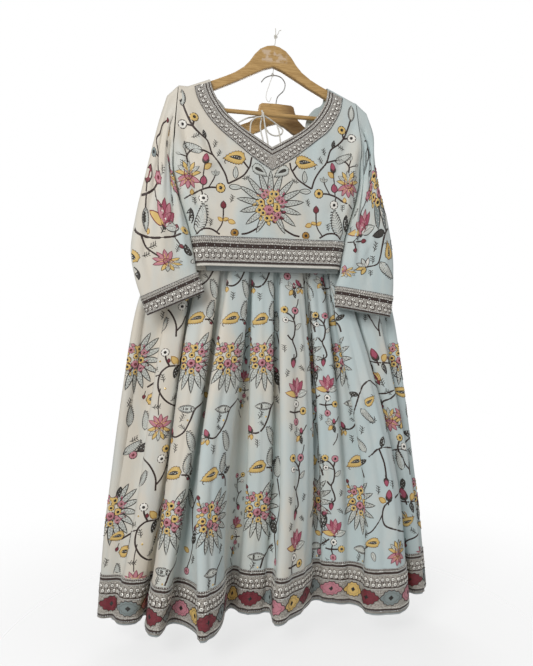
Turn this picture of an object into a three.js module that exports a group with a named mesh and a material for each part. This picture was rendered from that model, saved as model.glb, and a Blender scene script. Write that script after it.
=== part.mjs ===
// A lehenga set on two wooden hangers: a V-necked blouse with three-quarter sleeves hangs on the
// upper hanger, and a long pleated skirt hangs behind it on the lower one. Every length is in
// millimetres. X runs along the hangers, -Y is the front and +Z is up. The origin is the top end
// of the string that carries the set. "drop" is the distance below the origin.
import * as THREE from "three";

// Walls and seams
const SEAM_GAP = 0.3;
const CLOTH_THICK = 1.5;
const BORDER_THICK = 1.2;
const LINING_THICK = 1.0;
const BORDER_LIFT = CLOTH_THICK + SEAM_GAP;
const NORMAL_STEP = 0.05;

// Upper hanger: half of its outline, from the centre outward
const HANGER_CENTRE = -6;
const HANGER_THICK = 14;
const HANGER_BEVEL = 3;
const HANGER_TOP = [
  { out: 0, drop: 40.5 },
  { out: 14, drop: 43 },
  { out: 29, drop: 50.5 },
  { out: 42, drop: 64 },
  { out: 53, drop: 80 },
  { out: 66, drop: 94 },
  { out: 86, drop: 108 },
  { out: 108, drop: 119 },
  { out: 135, drop: 131 },
  { out: 188, drop: 153.6 },
];
const HANGER_UNDER = [
  { out: 194, drop: 160 },
  { out: 194, drop: 194 },
  { out: 190, drop: 200 },
  { out: 180, drop: 200 },
  { out: 174, drop: 194 },
  { out: 170, drop: 173 },
  { out: 131, drop: 151 },
  { out: 83, drop: 128 },
  { out: 41, drop: 106 },
  { out: 20, drop: 95 },
  { out: 0, drop: 88 },
];
const BAR_RADIUS = 4.8;
const BAR_DROP = 192;
const BAR_HALF = 172.5;

// Lower hanger, behind the blouse's back
const LOWER_CENTRE = 11;
const LOWER_Y = 32;
const LOWER_THICK = 12;
const LOWER_BEVEL = 2.5;
const LOWER_TOP = [
  { out: 0, drop: 156 },
  { out: 34, drop: 157 },
  { out: 40, drop: 161 },
  { out: 43, drop: 173 },
  { out: 51, drop: 190 },
  { out: 64, drop: 202 },
  { out: 90, drop: 213 },
  { out: 190, drop: 249 },
];
const LOWER_UNDER = [
  { out: 196, drop: 256 },
  { out: 192, drop: 267 },
  { out: 182, drop: 267 },
  { out: 62, drop: 232 },
  { out: 38, drop: 221 },
  { out: 18, drop: 207 },
  { out: 0, drop: 201 },
];
const HOOK_WIRE = 2.4;
const HOOK_ROUTE = [
  [-29, 12, 117.5], [-21, 12, 107.5], [-2.5, 12, 100], [16, 12, 102.5],
  [26, 13, 115], [24, 16, 129], [12, 26, 142], [10, 31, 155.5],
];

// Cords and threads, as points of X, Y and drop
const STRING_DIAMETER = 1.8;
const STRING_ROUTE = [[0, 0, 0], [0.6, 0, 14], [0, 0, 27], [-2, 0, 40.4]];
const THREAD_DIAMETER = 1.2;
const TAPE_WIDTH = 8;
const TAPE_THICK = 1;
const LOOP_OUT = 172;
const LOOP_HALF = 10.5;
const LOOP_CORNER = 3;
const LOOP_RISE = 0.6;
const LOOP_FOOT = 325;
const LINK_ROUTE = [[-4, 3, 89.4], [-3.5, 6, 93], [-3, 11.5, 98.4]];
const LINK_TAIL_ROUTE = [[-4, 13, 102.1], [-10, 17, 121], [-15, 19, 137], [-16, 19, 150], [-10, 19, 157], [-4, 19, 146]];
const TIE_DIAMETER = 3.2;
const TIE_X = -31;
const TIE_ROUTES = {
  tie_to_neck: [[-31, 9.1, 192], [-32, 11.4, 192], [-45, 11, 196], [-62, 10, 201], [-82, 10, 213], [-98.2, 11.9, 230]],
  tie_loop: [[-28.6, 4.9, 197.1], [-26, 5.3, 198.6], [-20, 5.5, 222], [-12, 5, 232], [2, 5, 236], [15, 5, 231],
    [18, 5, 222], [4, 4, 211], [-14, -3, 203], [-25.6, -5.4, 198.2], [-28.6, -4.9, 197]],
  tie_tail_left: [[-31, -6.5, 198.5], [-32, -8.3, 200.2], [-47, -7, 204], [-56, -6, 214], [-59, -6, 236], [-61, -8, 262]],
  tie_tail_middle: [[-31, 0, 200.9], [-33.5, 0, 210], [-34, 0, 227], [-29, -1, 249], [-28, -4, 270]],
  tie_tail_right: [[-31, -9.1, 192], [-31, -11.4, 193.2], [-26.5, -11, 224], [-20, -9, 256], [-18, -8, 276]],
  tie_tail_end: [[4.6, 4.4, 214.7], [7.5, 2, 222], [10.5, -2, 248], [12, -4, 262]],
};

// Blouse
const BLOUSE_CENTRE = -15;
const BLOUSE_HEM = 525;
const BACK_HEM = 538;
const BLOUSE_TIP = 199;
const SHOULDER_RISE = 3.4;
const SHOULDER_ROUND = 12;
const SIDE_ROUND = 26;
const UNDERARM = 316;
const YOKE = 330;
const ARMHOLE_CLOSE = 60;
const FRONT_DEPTH = [
  { drop: 120, depth: 11.5 },
  { drop: 180, depth: 15 },
  { drop: 260, depth: 23 },
  { drop: 400, depth: 25 },
  { drop: 545, depth: 23 },
];
const BACK_DEPTH = [
  { drop: 120, depth: 11 },
  { drop: 545, depth: 11 },
];
const BLOUSE_SIDE = [
  { drop: 120, half: 190 },
  { drop: 158, half: 199 },
  { drop: 316, half: 211 },
  { drop: 367, half: 203 },
  { drop: 404, half: 192 },
  { drop: 440, half: 180 },
  { drop: 497, half: 167 },
  { drop: 545, half: 159 },
];
// The front neckline and its border's outer edge, as half-widths and drops
const FRONT_NECK = [
  { out: 0, drop: 271, edge: 0, edgeDrop: 322 },
  { out: 26, drop: 256, edge: 42, edgeDrop: 296 },
  { out: 65, drop: 232, edge: 92, edgeDrop: 258 },
  { out: 95, drop: 206, edge: 127, edgeDrop: 229 },
  { out: 116, drop: 178, edge: 150, edgeDrop: 198 },
  { out: 129, drop: 152, edge: 163, edgeDrop: 170 },
  { out: 134, drop: 124, edge: 168, edgeDrop: 140 },
];
const BACK_NECK = [
  { out: 0, drop: 306 },
  { out: 30, drop: 304 },
  { out: 58, drop: 294 },
  { out: 78, drop: 270 },
  { out: 86, drop: 230 },
  { out: 90, drop: 195 },
  { out: 108, drop: 168 },
  { out: 129, drop: 152 },
  { out: 134, drop: 124 },
];
const HEM_BORDER_HEIGHT = 57;
const NECK_BORDER_START = 9;
const PIPING_HEIGHT = 5;

// Sleeves: a row for each section, from the armhole to the cuff's lower edge. "out" is the X of its
// outer edge and "past" how far its inner edge lies beyond the body's side, each with its drop.
// "round" is how far an edge turns.
const SLEEVE_LEFT = [
  { out: -237, outDrop: 174, past: 3.5, inDrop: 332, y: 0, depth: 13, round: 11 },
  { out: -252, outDrop: 222, past: 3.8, inDrop: 353, y: -1, depth: 12, round: 20 },
  { out: -263, outDrop: 264, past: 3.9, inDrop: 386, y: -3, depth: 13, round: 24 },
  { out: -280, outDrop: 334, past: 3.5, inDrop: 426, y: -5, depth: 14, round: 28 },
  { out: -300, outDrop: 420, past: 3.6, inDrop: 464, y: -7, depth: 14, round: 30 },
  { out: -312, outDrop: 498, past: 3.8, inDrop: 506, y: -9, depth: 13, round: 30 },
  { out: -305, outDrop: 553, past: 4, inDrop: 530, y: -11, depth: 12, round: 28 },
  { out: -292, outDrop: 597, past: 3.5, inDrop: 545, y: -12, depth: 11, round: 26 },
  { out: -277, outDrop: 636, past: -11.5, inDrop: 587, y: -13, depth: 11, round: 26 },
];
const SLEEVE_RIGHT = [
  { out: 212, outDrop: 171, past: 3.5, inDrop: 332, y: 0, depth: 13, round: 11 },
  { out: 230, outDrop: 216, past: 3.5, inDrop: 353, y: -1, depth: 12, round: 20 },
  { out: 232, outDrop: 266, past: 3.5, inDrop: 386, y: -3, depth: 13, round: 24 },
  { out: 243, outDrop: 338, past: 3.5, inDrop: 426, y: -5, depth: 14, round: 28 },
  { out: 264, outDrop: 415, past: 3.5, inDrop: 464, y: -7, depth: 14, round: 30 },
  { out: 276, outDrop: 490, past: 3.8, inDrop: 510, y: -9, depth: 13, round: 30 },
  { out: 277, outDrop: 545, past: 4, inDrop: 541, y: -11, depth: 12, round: 28 },
  { out: 275, outDrop: 588, past: -4.5, inDrop: 568, y: -12, depth: 11, round: 26 },
  { out: 266, outDrop: 637, past: -6, inDrop: 616, y: -13, depth: 11, round: 26 },
];
const CUFF_ROW = 8;
const ARMHOLE_GAP = 0.1;
const UNDERARM_GAP = 3;

// Skirt
const WAIST_TOP = 300;
const WAIST_HEIGHT = 40;
const WAIST_HALF = 188;
const WAIST_DEPTH = 15.5;
const WAIST_Y = 32;
const WAIST_SQUARENESS = 4;
const WAIST_THICK = 2;
const WAIST_COLUMNS = 32;
const SKIRT_TOP = WAIST_TOP + WAIST_HEIGHT + 2 * SEAM_GAP;
const SKIRT_HIP = 590;
const SKIRT_HEM = 1273;
const SKIRT_BORDER_HEIGHT = 88;
const LINING_SHOWS = 6;
const SKIRT_FORM = [
  { drop: 340, half: 190, front: 20.5, side: 32, back: 43, swell: 0.05, open: 0.3 },
  { drop: 590, half: 281, front: 34, side: 38, back: 52, swell: 0.15, open: 0.45 },
  { drop: 750, half: 309, front: 30, side: 40, back: 58, swell: 0.37, open: 0.6 },
  { drop: 990, half: 345, front: 23, side: 41, back: 64, swell: 0.76, open: 0.8 },
  { drop: 1100, half: 361, front: 21, side: 40, back: 66, swell: 0.96, open: 0.9 },
  { drop: 1300, half: 380, front: 19, side: 36, back: 70, swell: 1.3, open: 1 },
];
const SKIRT_ROWS = [1060, 930, 800, 690, SKIRT_HIP, 480];
const HEM_TURN = 0.05;
const SIDE_FOLD = 21;
const SIDE_TIP_SHARE = 0.3;
const SIDE_LEAN = 0.5;
const WAIST_PLEAT_SHARE = 0.72;
// Front pleats from left to right. The leading edge's X at four levels, the face's width at the
// hip and hem, how far the face's two ends stand forward at the hem, how far the cloth runs back
// under the leading edge and how far forward it is there, and the valley after the face.
const PLEATS = [
  { waist: -160, hip: -226, knee: -287, hem: -340, face: 34, faceHem: 44, lead: 34, trail: 34,
    under: -8, tuck: 2, valley: 0.5, rest: 0 },
  { waist: -128, hip: -177, knee: -239, hem: -289, face: 46, faceHem: 28, lead: 72, trail: 99,
    under: 16, tuck: 4, valley: 0.32, rest: 20 },
  { waist: -84, hip: -111, knee: -182, hem: -193, face: 48, faceHem: 50, lead: 130, trail: 97,
    under: 13, tuck: 88, valley: 0.7, rest: 0 },
  { waist: -38, hip: -44, knee: -57, hem: -82, face: 42, faceHem: 38, lead: 30, trail: 37,
    under: -9, tuck: 6, valley: 0.5, rest: 30 },
  { waist: 6, hip: 13, knee: -5, hem: -38, face: 60, faceHem: 112, lead: 114, trail: 18,
    under: 22, tuck: 40, valley: 0.5, rest: 0 },
  { waist: 56, hip: 91, knee: 112, hem: 113, face: 32, faceHem: 36, lead: 13, trail: 28,
    under: -7, tuck: 3, valley: 0.4, rest: 26 },
  { waist: 94, hip: 141, knee: 190, hem: 171, face: 36, faceHem: 108, lead: 81, trail: 88,
    under: 15, tuck: 46, valley: 0.7, rest: 0 },
  { waist: 136, hip: 198, knee: 290, hem: 331, face: 46, faceHem: 24, lead: 12, trail: 10,
    under: -7, tuck: 3, valley: 0.6, rest: 0 },
];
const BACK_PLEAT_SHARE = 0.62;
const SEAM_SHARE = 0.03;
const SKIRT_COLUMNS = 66;
const FINE_STEPS = 1200;
const STEP_LENGTH = 40;
const STEP_BEND = 0.9;

// Colours, roughness and metalness
const CREAM = [0xdcd9cf, 0.8, 0];
const ICE_BLUE = [0xc9d3d6, 0.75, 0];
const BORDER_TAUPE = [0x8b7d70, 0.7, 0];
const FACING_GREY = [0xa9b3b6, 0.7, 0];
const LINING_PALE = [0xd9e3e6, 0.7, 0];
const TAN_WOOD = [0xb98a5a, 0.5, 0];
const STEEL = [0x9b9b98, 0.35, 1];
const OFF_WHITE = [0xe6e2d8, 0.8, 0];

const group = new THREE.Group();

function addMesh(name, geometry, [color, roughness, metalness]) {
  const mesh = new THREE.Mesh(geometry, new THREE.MeshStandardMaterial({ color, roughness, metalness }));
  mesh.name = name;
  group.add(mesh);
  return mesh;
}

// The value of one column of a table at a place along another, as a smooth curve through the rows
function reading(rows, along, column, at) {
  const last = rows.length - 1;
  const slope = (i) => {
    const a = rows[Math.max(i - 1, 0)];
    const b = rows[Math.min(i + 1, last)];
    return (b[column] - a[column]) / (b[along] - a[along]);
  };
  let i = 0;
  while (i < last - 1 && at > rows[i + 1][along]) i += 1;
  const span = rows[i + 1][along] - rows[i][along];
  const t = THREE.MathUtils.clamp((at - rows[i][along]) / span, 0, 1);
  const rise = t * t * (3 - 2 * t);
  return rows[i][column] * (1 - rise) + rows[i + 1][column] * rise
    + span * (t * (1 - t) * (1 - t) * slope(i) - t * t * (1 - t) * slope(i + 1));
}

function evenly(from, to, count) {
  return Array.from({ length: count + 1 }, (_, i) => from + ((to - from) * i) / count);
}

// How far a cloth edge has opened, from 0 at the edge to 1 where it runs flat
function rounding(distance, reach) {
  const q = THREE.MathUtils.clamp(distance / reach, 0, 1);
  return Math.sqrt(q * (2 - q));
}

// One closed wall of cloth. surface(a, b) is the face that it is laid on, with "a" running so that
// the a and b directions cross outward, and place(u, v) turns a grid's u and v into a and b.
function addCloth(name, colour, surface, columns, rows, options = {}) {
  const { lift = 0, thick = CLOTH_THICK, loop = false, place = (u, v) => [u, v] } = options;
  const width = loop ? columns.length : columns.length - 1;
  const height = rows.length - 1;
  const positions = [];
  for (const offset of [lift + thick, lift]) {
    for (const v of rows) {
      for (const u of columns) {
        const [a, b] = place(u, v);
        const along = surface(a + NORMAL_STEP, b).sub(surface(a - NORMAL_STEP, b));
        const up = surface(a, b + NORMAL_STEP).sub(surface(a, b - NORMAL_STEP));
        const point = surface(a, b).addScaledVector(along.cross(up).normalize(), offset);
        positions.push(point.x, point.y, point.z);
      }
    }
  }
  const face = columns.length * rows.length;
  const outer = (i, j) => j * columns.length + (i % columns.length);
  const inner = (i, j) => face + outer(i, j);
  const index = [];
  const quad = (p, q, r, s) => index.push(p, q, r, p, r, s);
  for (let j = 0; j < height; j += 1) {
    for (let i = 0; i < width; i += 1) {
      quad(outer(i, j), outer(i + 1, j), outer(i + 1, j + 1), outer(i, j + 1));
      quad(inner(i, j), inner(i, j + 1), inner(i + 1, j + 1), inner(i + 1, j));
    }
  }
  for (let i = 0; i < width; i += 1) {
    quad(outer(i + 1, 0), outer(i, 0), inner(i, 0), inner(i + 1, 0));
    quad(outer(i, height), outer(i + 1, height), inner(i + 1, height), inner(i, height));
  }
  if (!loop) {
    for (let j = 0; j < height; j += 1) {
      quad(outer(0, j), outer(0, j + 1), inner(0, j + 1), inner(0, j));
      quad(outer(width, j + 1), outer(width, j), inner(width, j), inner(width, j + 1));
    }
  }
  const geometry = new THREE.BufferGeometry();
  geometry.setAttribute("position", new THREE.Float32BufferAttribute(positions, 3));
  geometry.setIndex(index);
  return addMesh(name, geometry, colour);
}

// A round cord or wire along a curve through its points
function addCord(name, colour, diameter, points, steps) {
  const section = new THREE.Shape();
  section.absarc(0, 0, diameter / 2, 0, 2 * Math.PI, false);
  const path = new THREE.CatmullRomCurve3(points.map(([x, y, drop]) => new THREE.Vector3(x, y, -drop)));
  const geometry = new THREE.ExtrudeGeometry(section, { steps, curveSegments: 4, extrudePath: path });
  return addMesh(name, geometry, colour);
}

// A flat wooden body from half of its outline, with rounded edges
function addHangerBody(name, top, under, centre, y, thick, bevel) {
  const half = [...top, ...under];
  const outline = new THREE.Shape();
  const inset = ({ out, drop }, side) => new THREE.Vector2(centre + side * out, -drop);
  const right = half.map((row) => inset(row, 1));
  const left = half.slice(1, -1).reverse().map((row) => inset(row, -1));
  outline.setFromPoints([...right, ...left].reverse());
  const geometry = new THREE.ExtrudeGeometry(outline, {
    depth: thick - 2 * bevel, bevelThickness: bevel, bevelSize: bevel, bevelOffset: -bevel, bevelSegments: 2,
  });
  const mesh = addMesh(name, geometry, TAN_WOOD);
  mesh.rotation.x = Math.PI / 2;
  mesh.position.y = y + thick / 2 - bevel;
  return mesh;
}

// ---- Upper hanger, its string and the threads below it ----
addHangerBody("upper_hanger_body", HANGER_TOP, HANGER_UNDER, HANGER_CENTRE, 0, HANGER_THICK, HANGER_BEVEL);
const bar = addMesh("upper_hanger_bar",
  new THREE.CylinderGeometry(BAR_RADIUS, BAR_RADIUS, 2 * BAR_HALF, 16), TAN_WOOD);
bar.rotation.z = Math.PI / 2;
bar.position.set(HANGER_CENTRE, 0, -BAR_DROP);

addCord("hanging_string", OFF_WHITE, STRING_DIAMETER, STRING_ROUTE, 12);
addCord("link_thread", OFF_WHITE, THREAD_DIAMETER, LINK_ROUTE, 5);
addCord("link_thread_tail", OFF_WHITE, THREAD_DIAMETER, LINK_TAIL_ROUTE, 26);

// ---- Lower hanger ----
addCord("lower_hanger_hook", STEEL, HOOK_WIRE, HOOK_ROUTE, 24);
addHangerBody("lower_hanger_body", LOWER_TOP, LOWER_UNDER, LOWER_CENTRE, LOWER_Y, LOWER_THICK, LOWER_BEVEL);

// Tape loops inside the skirt's waist, one over each arm
for (const [side, name] of [[-1, "left"], [1, "right"]]) {
  const armTop = reading(LOWER_TOP, "out", "drop", LOOP_OUT - side * LOWER_CENTRE - TAPE_WIDTH);
  const flat = LOOP_HALF - LOOP_CORNER;
  const outer = new THREE.Shape();
  const arch = (half, top) => [[-half, LOOP_FOOT], [-half, top + flat], [-flat, top], [flat, top], [half, top + flat],
    [half, LOOP_FOOT]];
  const legs = [
    ...arch(LOOP_HALF, armTop - LOOP_RISE - TAPE_THICK),
    ...arch(LOOP_HALF - TAPE_THICK, armTop - LOOP_RISE).reverse(),
  ];
  outer.setFromPoints(legs.map(([across, drop]) => new THREE.Vector2(LOWER_Y + across, -drop)));
  const loop = addMesh(`hanging_loop_${name}`,
    new THREE.ExtrudeGeometry(outer, { depth: TAPE_WIDTH, bevelEnabled: false }), OFF_WHITE);
  loop.rotation.set(Math.PI / 2, Math.PI / 2, 0);
  loop.position.x = side * LOOP_OUT - TAPE_WIDTH / 2;
}

// ---- Back-neck ties, gathered round the upper hanger's bar ----
const tieRing = new THREE.Path();
tieRing.absarc(BAR_RADIUS + SEAM_GAP + TIE_DIAMETER / 2, 0, TIE_DIAMETER / 2, 0, 2 * Math.PI, false);
const ring = addMesh("tie_round_bar", new THREE.LatheGeometry(tieRing.getPoints(4), 16), OFF_WHITE);
ring.rotation.z = Math.PI / 2;
ring.position.set(TIE_X, 0, -BAR_DROP);
for (const [name, route] of Object.entries(TIE_ROUTES)) {
  addCord(name, OFF_WHITE, TIE_DIAMETER, route, name === "tie_loop" ? 18 : 10);
}

// ---- Blouse ----
function shoulderDrop(x) {
  return reading(HANGER_TOP, "out", "drop", Math.abs(x - HANGER_CENTRE)) - SHOULDER_RISE;
}

// Depth of a blouse panel from the side seams' plane, at x and a drop
function panelDepth(table, x, drop) {
  const half = reading(BLOUSE_SIDE, "drop", "half", drop);
  const fromSide = half - Math.abs(x - BLOUSE_CENTRE);
  const closed = 1 - THREE.MathUtils.smoothstep(UNDERARM - drop, 0, ARMHOLE_CLOSE);
  const side = 1 - closed * (1 - rounding(fromSide, SIDE_ROUND));
  const top = rounding(drop - shoulderDrop(x), SHOULDER_ROUND);
  return SEAM_GAP / 2 + reading(table, "drop", "depth", drop) * side * top;
}
const frontPanel = (x, z) => new THREE.Vector3(x, -panelDepth(FRONT_DEPTH, x, -z), z);
const backPanel = (a, z) => new THREE.Vector3(-a, panelDepth(BACK_DEPTH, -a, -z), z);

// Places a grid on a blouse panel: u from -1 to 1 across it, and v is the share of the height, level
// from 0 at the hem to 1 at the yoke line, then following the top edge, which is at 2
function panelPlace(neck, hem, flip) {
  const neckHalf = neck[neck.length - 1].out;
  return (u, v) => {
    const x0 = BLOUSE_CENTRE + flip * u * BLOUSE_TIP;
    const out = Math.abs(u) * BLOUSE_TIP;
    const shoulder = shoulderDrop(x0);
    const topDrop = out < neckHalf ? Math.max(reading(neck, "out", "drop", out), shoulder) : shoulder;
    const climb = Math.max(v - 1, 0);
    const drop = v < 1 ? THREE.MathUtils.lerp(hem, YOKE, v) : THREE.MathUtils.lerp(YOKE, topDrop, climb);
    const half = reading(BLOUSE_SIDE, "drop", "half", drop);
    const topHalf = reading(BLOUSE_SIDE, "drop", "half", topDrop);
    return [flip * BLOUSE_CENTRE + u * half * (1 + (BLOUSE_TIP / topHalf - 1) * climb), -drop];
  };
}
const PANEL_OUTS = [0, 26, 50, 74, 95, 112, 124, 130, 132.4, 133.5, 134, 150, 170, 189, 199];
const panelColumns = [...PANEL_OUTS.slice(1).reverse().map((out) => -out), ...PANEL_OUTS]
  .map((out) => out / BLOUSE_TIP);
const PANEL_ROWS = [1.25, 1.5, 1.7, 1.85, 1.93, 1.965, 1.985, 2];
const borderShare = (hem) => HEM_BORDER_HEIGHT / (hem - YOKE);
const panelRows = (hem) => [0, borderShare(hem) / 2, borderShare(hem), 0.5, 0.78, 1, ...PANEL_ROWS];
addCloth("blouse_front", CREAM, frontPanel, panelColumns, panelRows(BLOUSE_HEM),
  { place: panelPlace(FRONT_NECK, BLOUSE_HEM, 1) });
addCloth("blouse_back", CREAM, backPanel, panelColumns, panelRows(BACK_HEM),
  { place: panelPlace(BACK_NECK, BACK_HEM, -1) });

// Strips that lie on the panels at the hem, from the panels' own columns
for (const [name, panel, neck, hem, flip] of [
  ["front", frontPanel, FRONT_NECK, BLOUSE_HEM, 1],
  ["back", backPanel, BACK_NECK, BACK_HEM, -1],
]) {
  addCloth(`blouse_hem_border_${name}`, BORDER_TAUPE, panel, panelColumns, panelRows(hem).slice(0, 3),
    { place: panelPlace(neck, hem, flip), lift: BORDER_LIFT, thick: BORDER_THICK });
}
const alongHem = (flip) => (u, drop) => [
  flip * BLOUSE_CENTRE + u * reading(BLOUSE_SIDE, "drop", "half", BLOUSE_HEM), -drop,
];
addCloth("blouse_hem_piping", OFF_WHITE, frontPanel, panelColumns,
  [BLOUSE_HEM + 2 * SEAM_GAP + PIPING_HEIGHT, BLOUSE_HEM + 2 * SEAM_GAP],
  { place: alongHem(1), thick: BORDER_LIFT + BORDER_THICK });
addCloth("back_hem_facing", FACING_GREY, backPanel, panelColumns.slice(2, -2),
  panelRows(BACK_HEM).slice(0, 3),
  { place: panelPlace(BACK_NECK, BACK_HEM, -1), lift: -SEAM_GAP - LINING_THICK, thick: LINING_THICK });

// The border round the V neck: u from -1 at the left shoulder to 1 at the right, v from its outer
// edge at 0 to the neckline at 1
const neckRows = FRONT_NECK.map((row, i) => ({ ...row, at: i / (FRONT_NECK.length - 1) }));
function neckPlace(u, v) {
  const at = (column) => reading(neckRows, "at", column, Math.abs(u));
  const out = THREE.MathUtils.lerp(at("edge"), at("out"), v);
  const drop = THREE.MathUtils.lerp(at("edgeDrop"), at("drop"), v);
  const x = BLOUSE_CENTRE + Math.sign(u) * out;
  return [x, -Math.max(drop, shoulderDrop(x) + NECK_BORDER_START)];
}
addCloth("neck_border", BORDER_TAUPE, frontPanel, evenly(-1, 1, 24), evenly(0, 1, 3),
  { place: neckPlace, lift: BORDER_LIFT + SEAM_GAP, thick: BORDER_THICK });

// A sleeve: turn runs once round a section from its outer edge, and row runs up from the cuff
function sleeveSurface(table, side) {
  const tipX = BLOUSE_CENTRE + side * BLOUSE_TIP;
  const tipDrop = shoulderDrop(tipX) + SEAM_GAP;
  const armholeHalf = (drop) => reading(BLOUSE_SIDE, "drop", "half", drop);
  const rows = table.map((row, i) => ({
    ...row, at: i + 1, in: BLOUSE_CENTRE + side * (armholeHalf(row.inDrop) + row.past),
  }));
  return (turn, row) => {
    const at = table.length - row;
    const angle = 2 * Math.PI * turn;
    const share = (1 - Math.cos(angle)) / 2;
    const facing = side * Math.sin(angle) < 0 ? -1 : 1;
    const armDrop = THREE.MathUtils.lerp(tipDrop, UNDERARM - UNDERARM_GAP, share);
    const armX = BLOUSE_CENTRE + side * (armholeHalf(armDrop) + THREE.MathUtils.lerp(ARMHOLE_GAP, UNDERARM_GAP, share));
    const armY = facing * panelDepth(facing < 0 ? FRONT_DEPTH : BACK_DEPTH, armX - side * UNDERARM_GAP, armDrop + 1);
    const armhole = new THREE.Vector3(armX, armY, -armDrop);
    const read = (column) => reading(rows, "at", column, Math.max(at, 1));
    const outer = new THREE.Vector3(read("out"), read("y"), -read("outDrop"));
    const inner = new THREE.Vector3(read("in"), read("y"), -read("inDrop"));
    const length = outer.distanceTo(inner);
    const section = outer.lerp(inner, share);
    const round = read("round");
    section.y += facing * read("depth") * rounding(share * length, round) * rounding((1 - share) * length, round);
    return at >= 1 ? section : armhole.lerp(section, Math.max(at, 0));
  };
}
const SLEEVE_TURNS = evenly(0, 1, 18).slice(0, -1);
for (const [side, name, table] of [[-1, "left", SLEEVE_LEFT], [1, "right", SLEEVE_RIGHT]]) {
  const surface = sleeveSurface(table, side);
  const cuffRow = table.length - CUFF_ROW;
  const rows = [0, 0.5, 1, 2, 3, 4, 5, 6, 7, 7.6, 8, 8.5, 8.9];
  addCloth(`sleeve_${name}`, CREAM, surface, SLEEVE_TURNS, rows, { loop: true });
  addCloth(`cuff_border_${name}`, BORDER_TAUPE, surface, SLEEVE_TURNS, evenly(0, cuffRow, 2),
    { loop: true, lift: BORDER_LIFT, thick: BORDER_THICK });
}

// ---- Skirt ----
const waistRing = (turn, z) => {
  const angle = 2 * Math.PI * turn - Math.PI;
  const bend = (value) => Math.sign(value) * Math.abs(value) ** (2 / WAIST_SQUARENESS);
  return new THREE.Vector3(WAIST_HALF * bend(Math.cos(angle)), WAIST_Y + WAIST_DEPTH * bend(Math.sin(angle)), z);
};
const waistTurns = evenly(0, 1, WAIST_COLUMNS).slice(0, -1).map((turn) => turn + 1 / (4 * WAIST_COLUMNS));
addCloth("skirt_waistband", ICE_BLUE, waistRing, waistTurns, [-WAIST_TOP - WAIST_HEIGHT, -WAIST_TOP],
  { loop: true, thick: WAIST_THICK });

// The plan of the skirt at a drop, as the corners of its folds
const PLEAT_LEVELS = [["waist", WAIST_TOP + WAIST_HEIGHT], ["hip", SKIRT_HIP], ["knee", 990], ["hem", SKIRT_HEM]];
function pleatEdge(pleat, drop) {
  return reading(PLEAT_LEVELS.map(([level, at]) => ({ at, x: pleat[level] })), "at", "x", Math.min(drop, SKIRT_HEM));
}
function pleatFace(pleat, drop) {
  if (drop >= SKIRT_HIP) return THREE.MathUtils.mapLinear(drop, SKIRT_HIP, SKIRT_HEM, pleat.face, pleat.faceHem);
  return pleat.face * THREE.MathUtils.mapLinear(drop, WAIST_TOP + WAIST_HEIGHT, SKIRT_HIP, WAIST_PLEAT_SHARE, 1);
}
function skirtCorners(drop) {
  const form = (column) => reading(SKIRT_FORM, "drop", column, drop);
  const [half, front, side, back, swell, open] = ["half", "front", "side", "back", "swell", "open"].map(form);
  const turn = HEM_TURN * swell;
  const fold = SIDE_FOLD * open;
  const tip = fold * SIDE_TIP_SHARE;
  const lean = turn * half * SIDE_LEAN;
  const outline = [[0, 0]];
  PLEATS.forEach((pleat, i) => {
    const edge = pleatEdge(pleat, drop);
    const end = edge + pleatFace(pleat, Math.min(drop, SKIRT_HEM));
    const next = PLEATS[i + 1];
    const nextUnder = next ? pleatEdge(next, drop) + next.under * open : half - fold;
    outline.push([edge + pleat.under * open, pleat.tuck], [edge, pleat.lead], [end, pleat.trail]);
    outline.push([THREE.MathUtils.lerp(end, nextUnder, pleat.valley), pleat.rest]);
  });
  const frontCorners = outline.slice(1).map(([x, reach]) => [x, front - turn * x - reach * swell]);
  const backCorners = outline.slice(1).map(([x, reach]) => [-x, back + turn * x + reach * swell * BACK_PLEAT_SHARE]);
  return [
    [-half, side + lean],
    [-half + tip, side + lean - fold],
    ...frontCorners,
    [half - tip, side - lean - fold],
    [half, side - lean],
    [half - tip, side - lean + fold],
    ...backCorners,
    [-half + tip, side + lean + fold],
  ].map(([x, y]) => new THREE.Vector3(x, y, -drop));
}
const CORNERS = skirtCorners(SKIRT_TOP).length;
const planAtDrop = new Map();
// A smooth closed curve that is drawn toward the corners and rounds them: a cubic B-spline
function skirtSurface(corner, z) {
  if (!planAtDrop.has(z)) planAtDrop.set(z, skirtCorners(-z));
  const corners = planAtDrop.get(z);
  const whole = Math.floor(corner);
  const t = corner - whole;
  const weights = [(1 - t) ** 3, 3 * t ** 3 - 6 * t ** 2 + 4, 3 * (t - t ** 3 + t ** 2) + 1, t ** 3];
  const point = new THREE.Vector3();
  weights.forEach((weight, i) => {
    point.addScaledVector(corners[(whole + i - 1 + CORNERS) % CORNERS], weight / 6);
  });
  return point;
}
// Columns from one corner to another, closer where the hem bends: each step has about the same sum
// of length and bend
function foldColumns(from, to, count) {
  const fine = evenly(from, to, FINE_STEPS);
  const points = fine.map((corner) => skirtSurface(corner, -SKIRT_HEM));
  const sums = [0];
  for (let i = 1; i < fine.length; i += 1) {
    const step = points[i].clone().sub(points[i - 1]);
    const before = points[Math.max(i - 1, 1)].clone().sub(points[Math.max(i - 1, 1) - 1]);
    sums.push(sums[i - 1] + step.length() / STEP_LENGTH + step.angleTo(before) / STEP_BEND);
  }
  const total = sums[sums.length - 1];
  return evenly(0, total, count).map((sum) => {
    const i = Math.max(sums.findIndex((value) => value >= sum - 1e-9), 1);
    return THREE.MathUtils.mapLinear(sum, sums[i - 1], sums[i], fine[i - 1], fine[i]);
  });
}
const frontSeam = CORNERS / 2;
const frontColumns = foldColumns(SEAM_SHARE, frontSeam - SEAM_SHARE, SKIRT_COLUMNS);
const backColumns = foldColumns(frontSeam + SEAM_SHARE, CORNERS - SEAM_SHARE, SKIRT_COLUMNS);
const borderRows = [-SKIRT_HEM, SKIRT_BORDER_HEIGHT - SKIRT_HEM];
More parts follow.
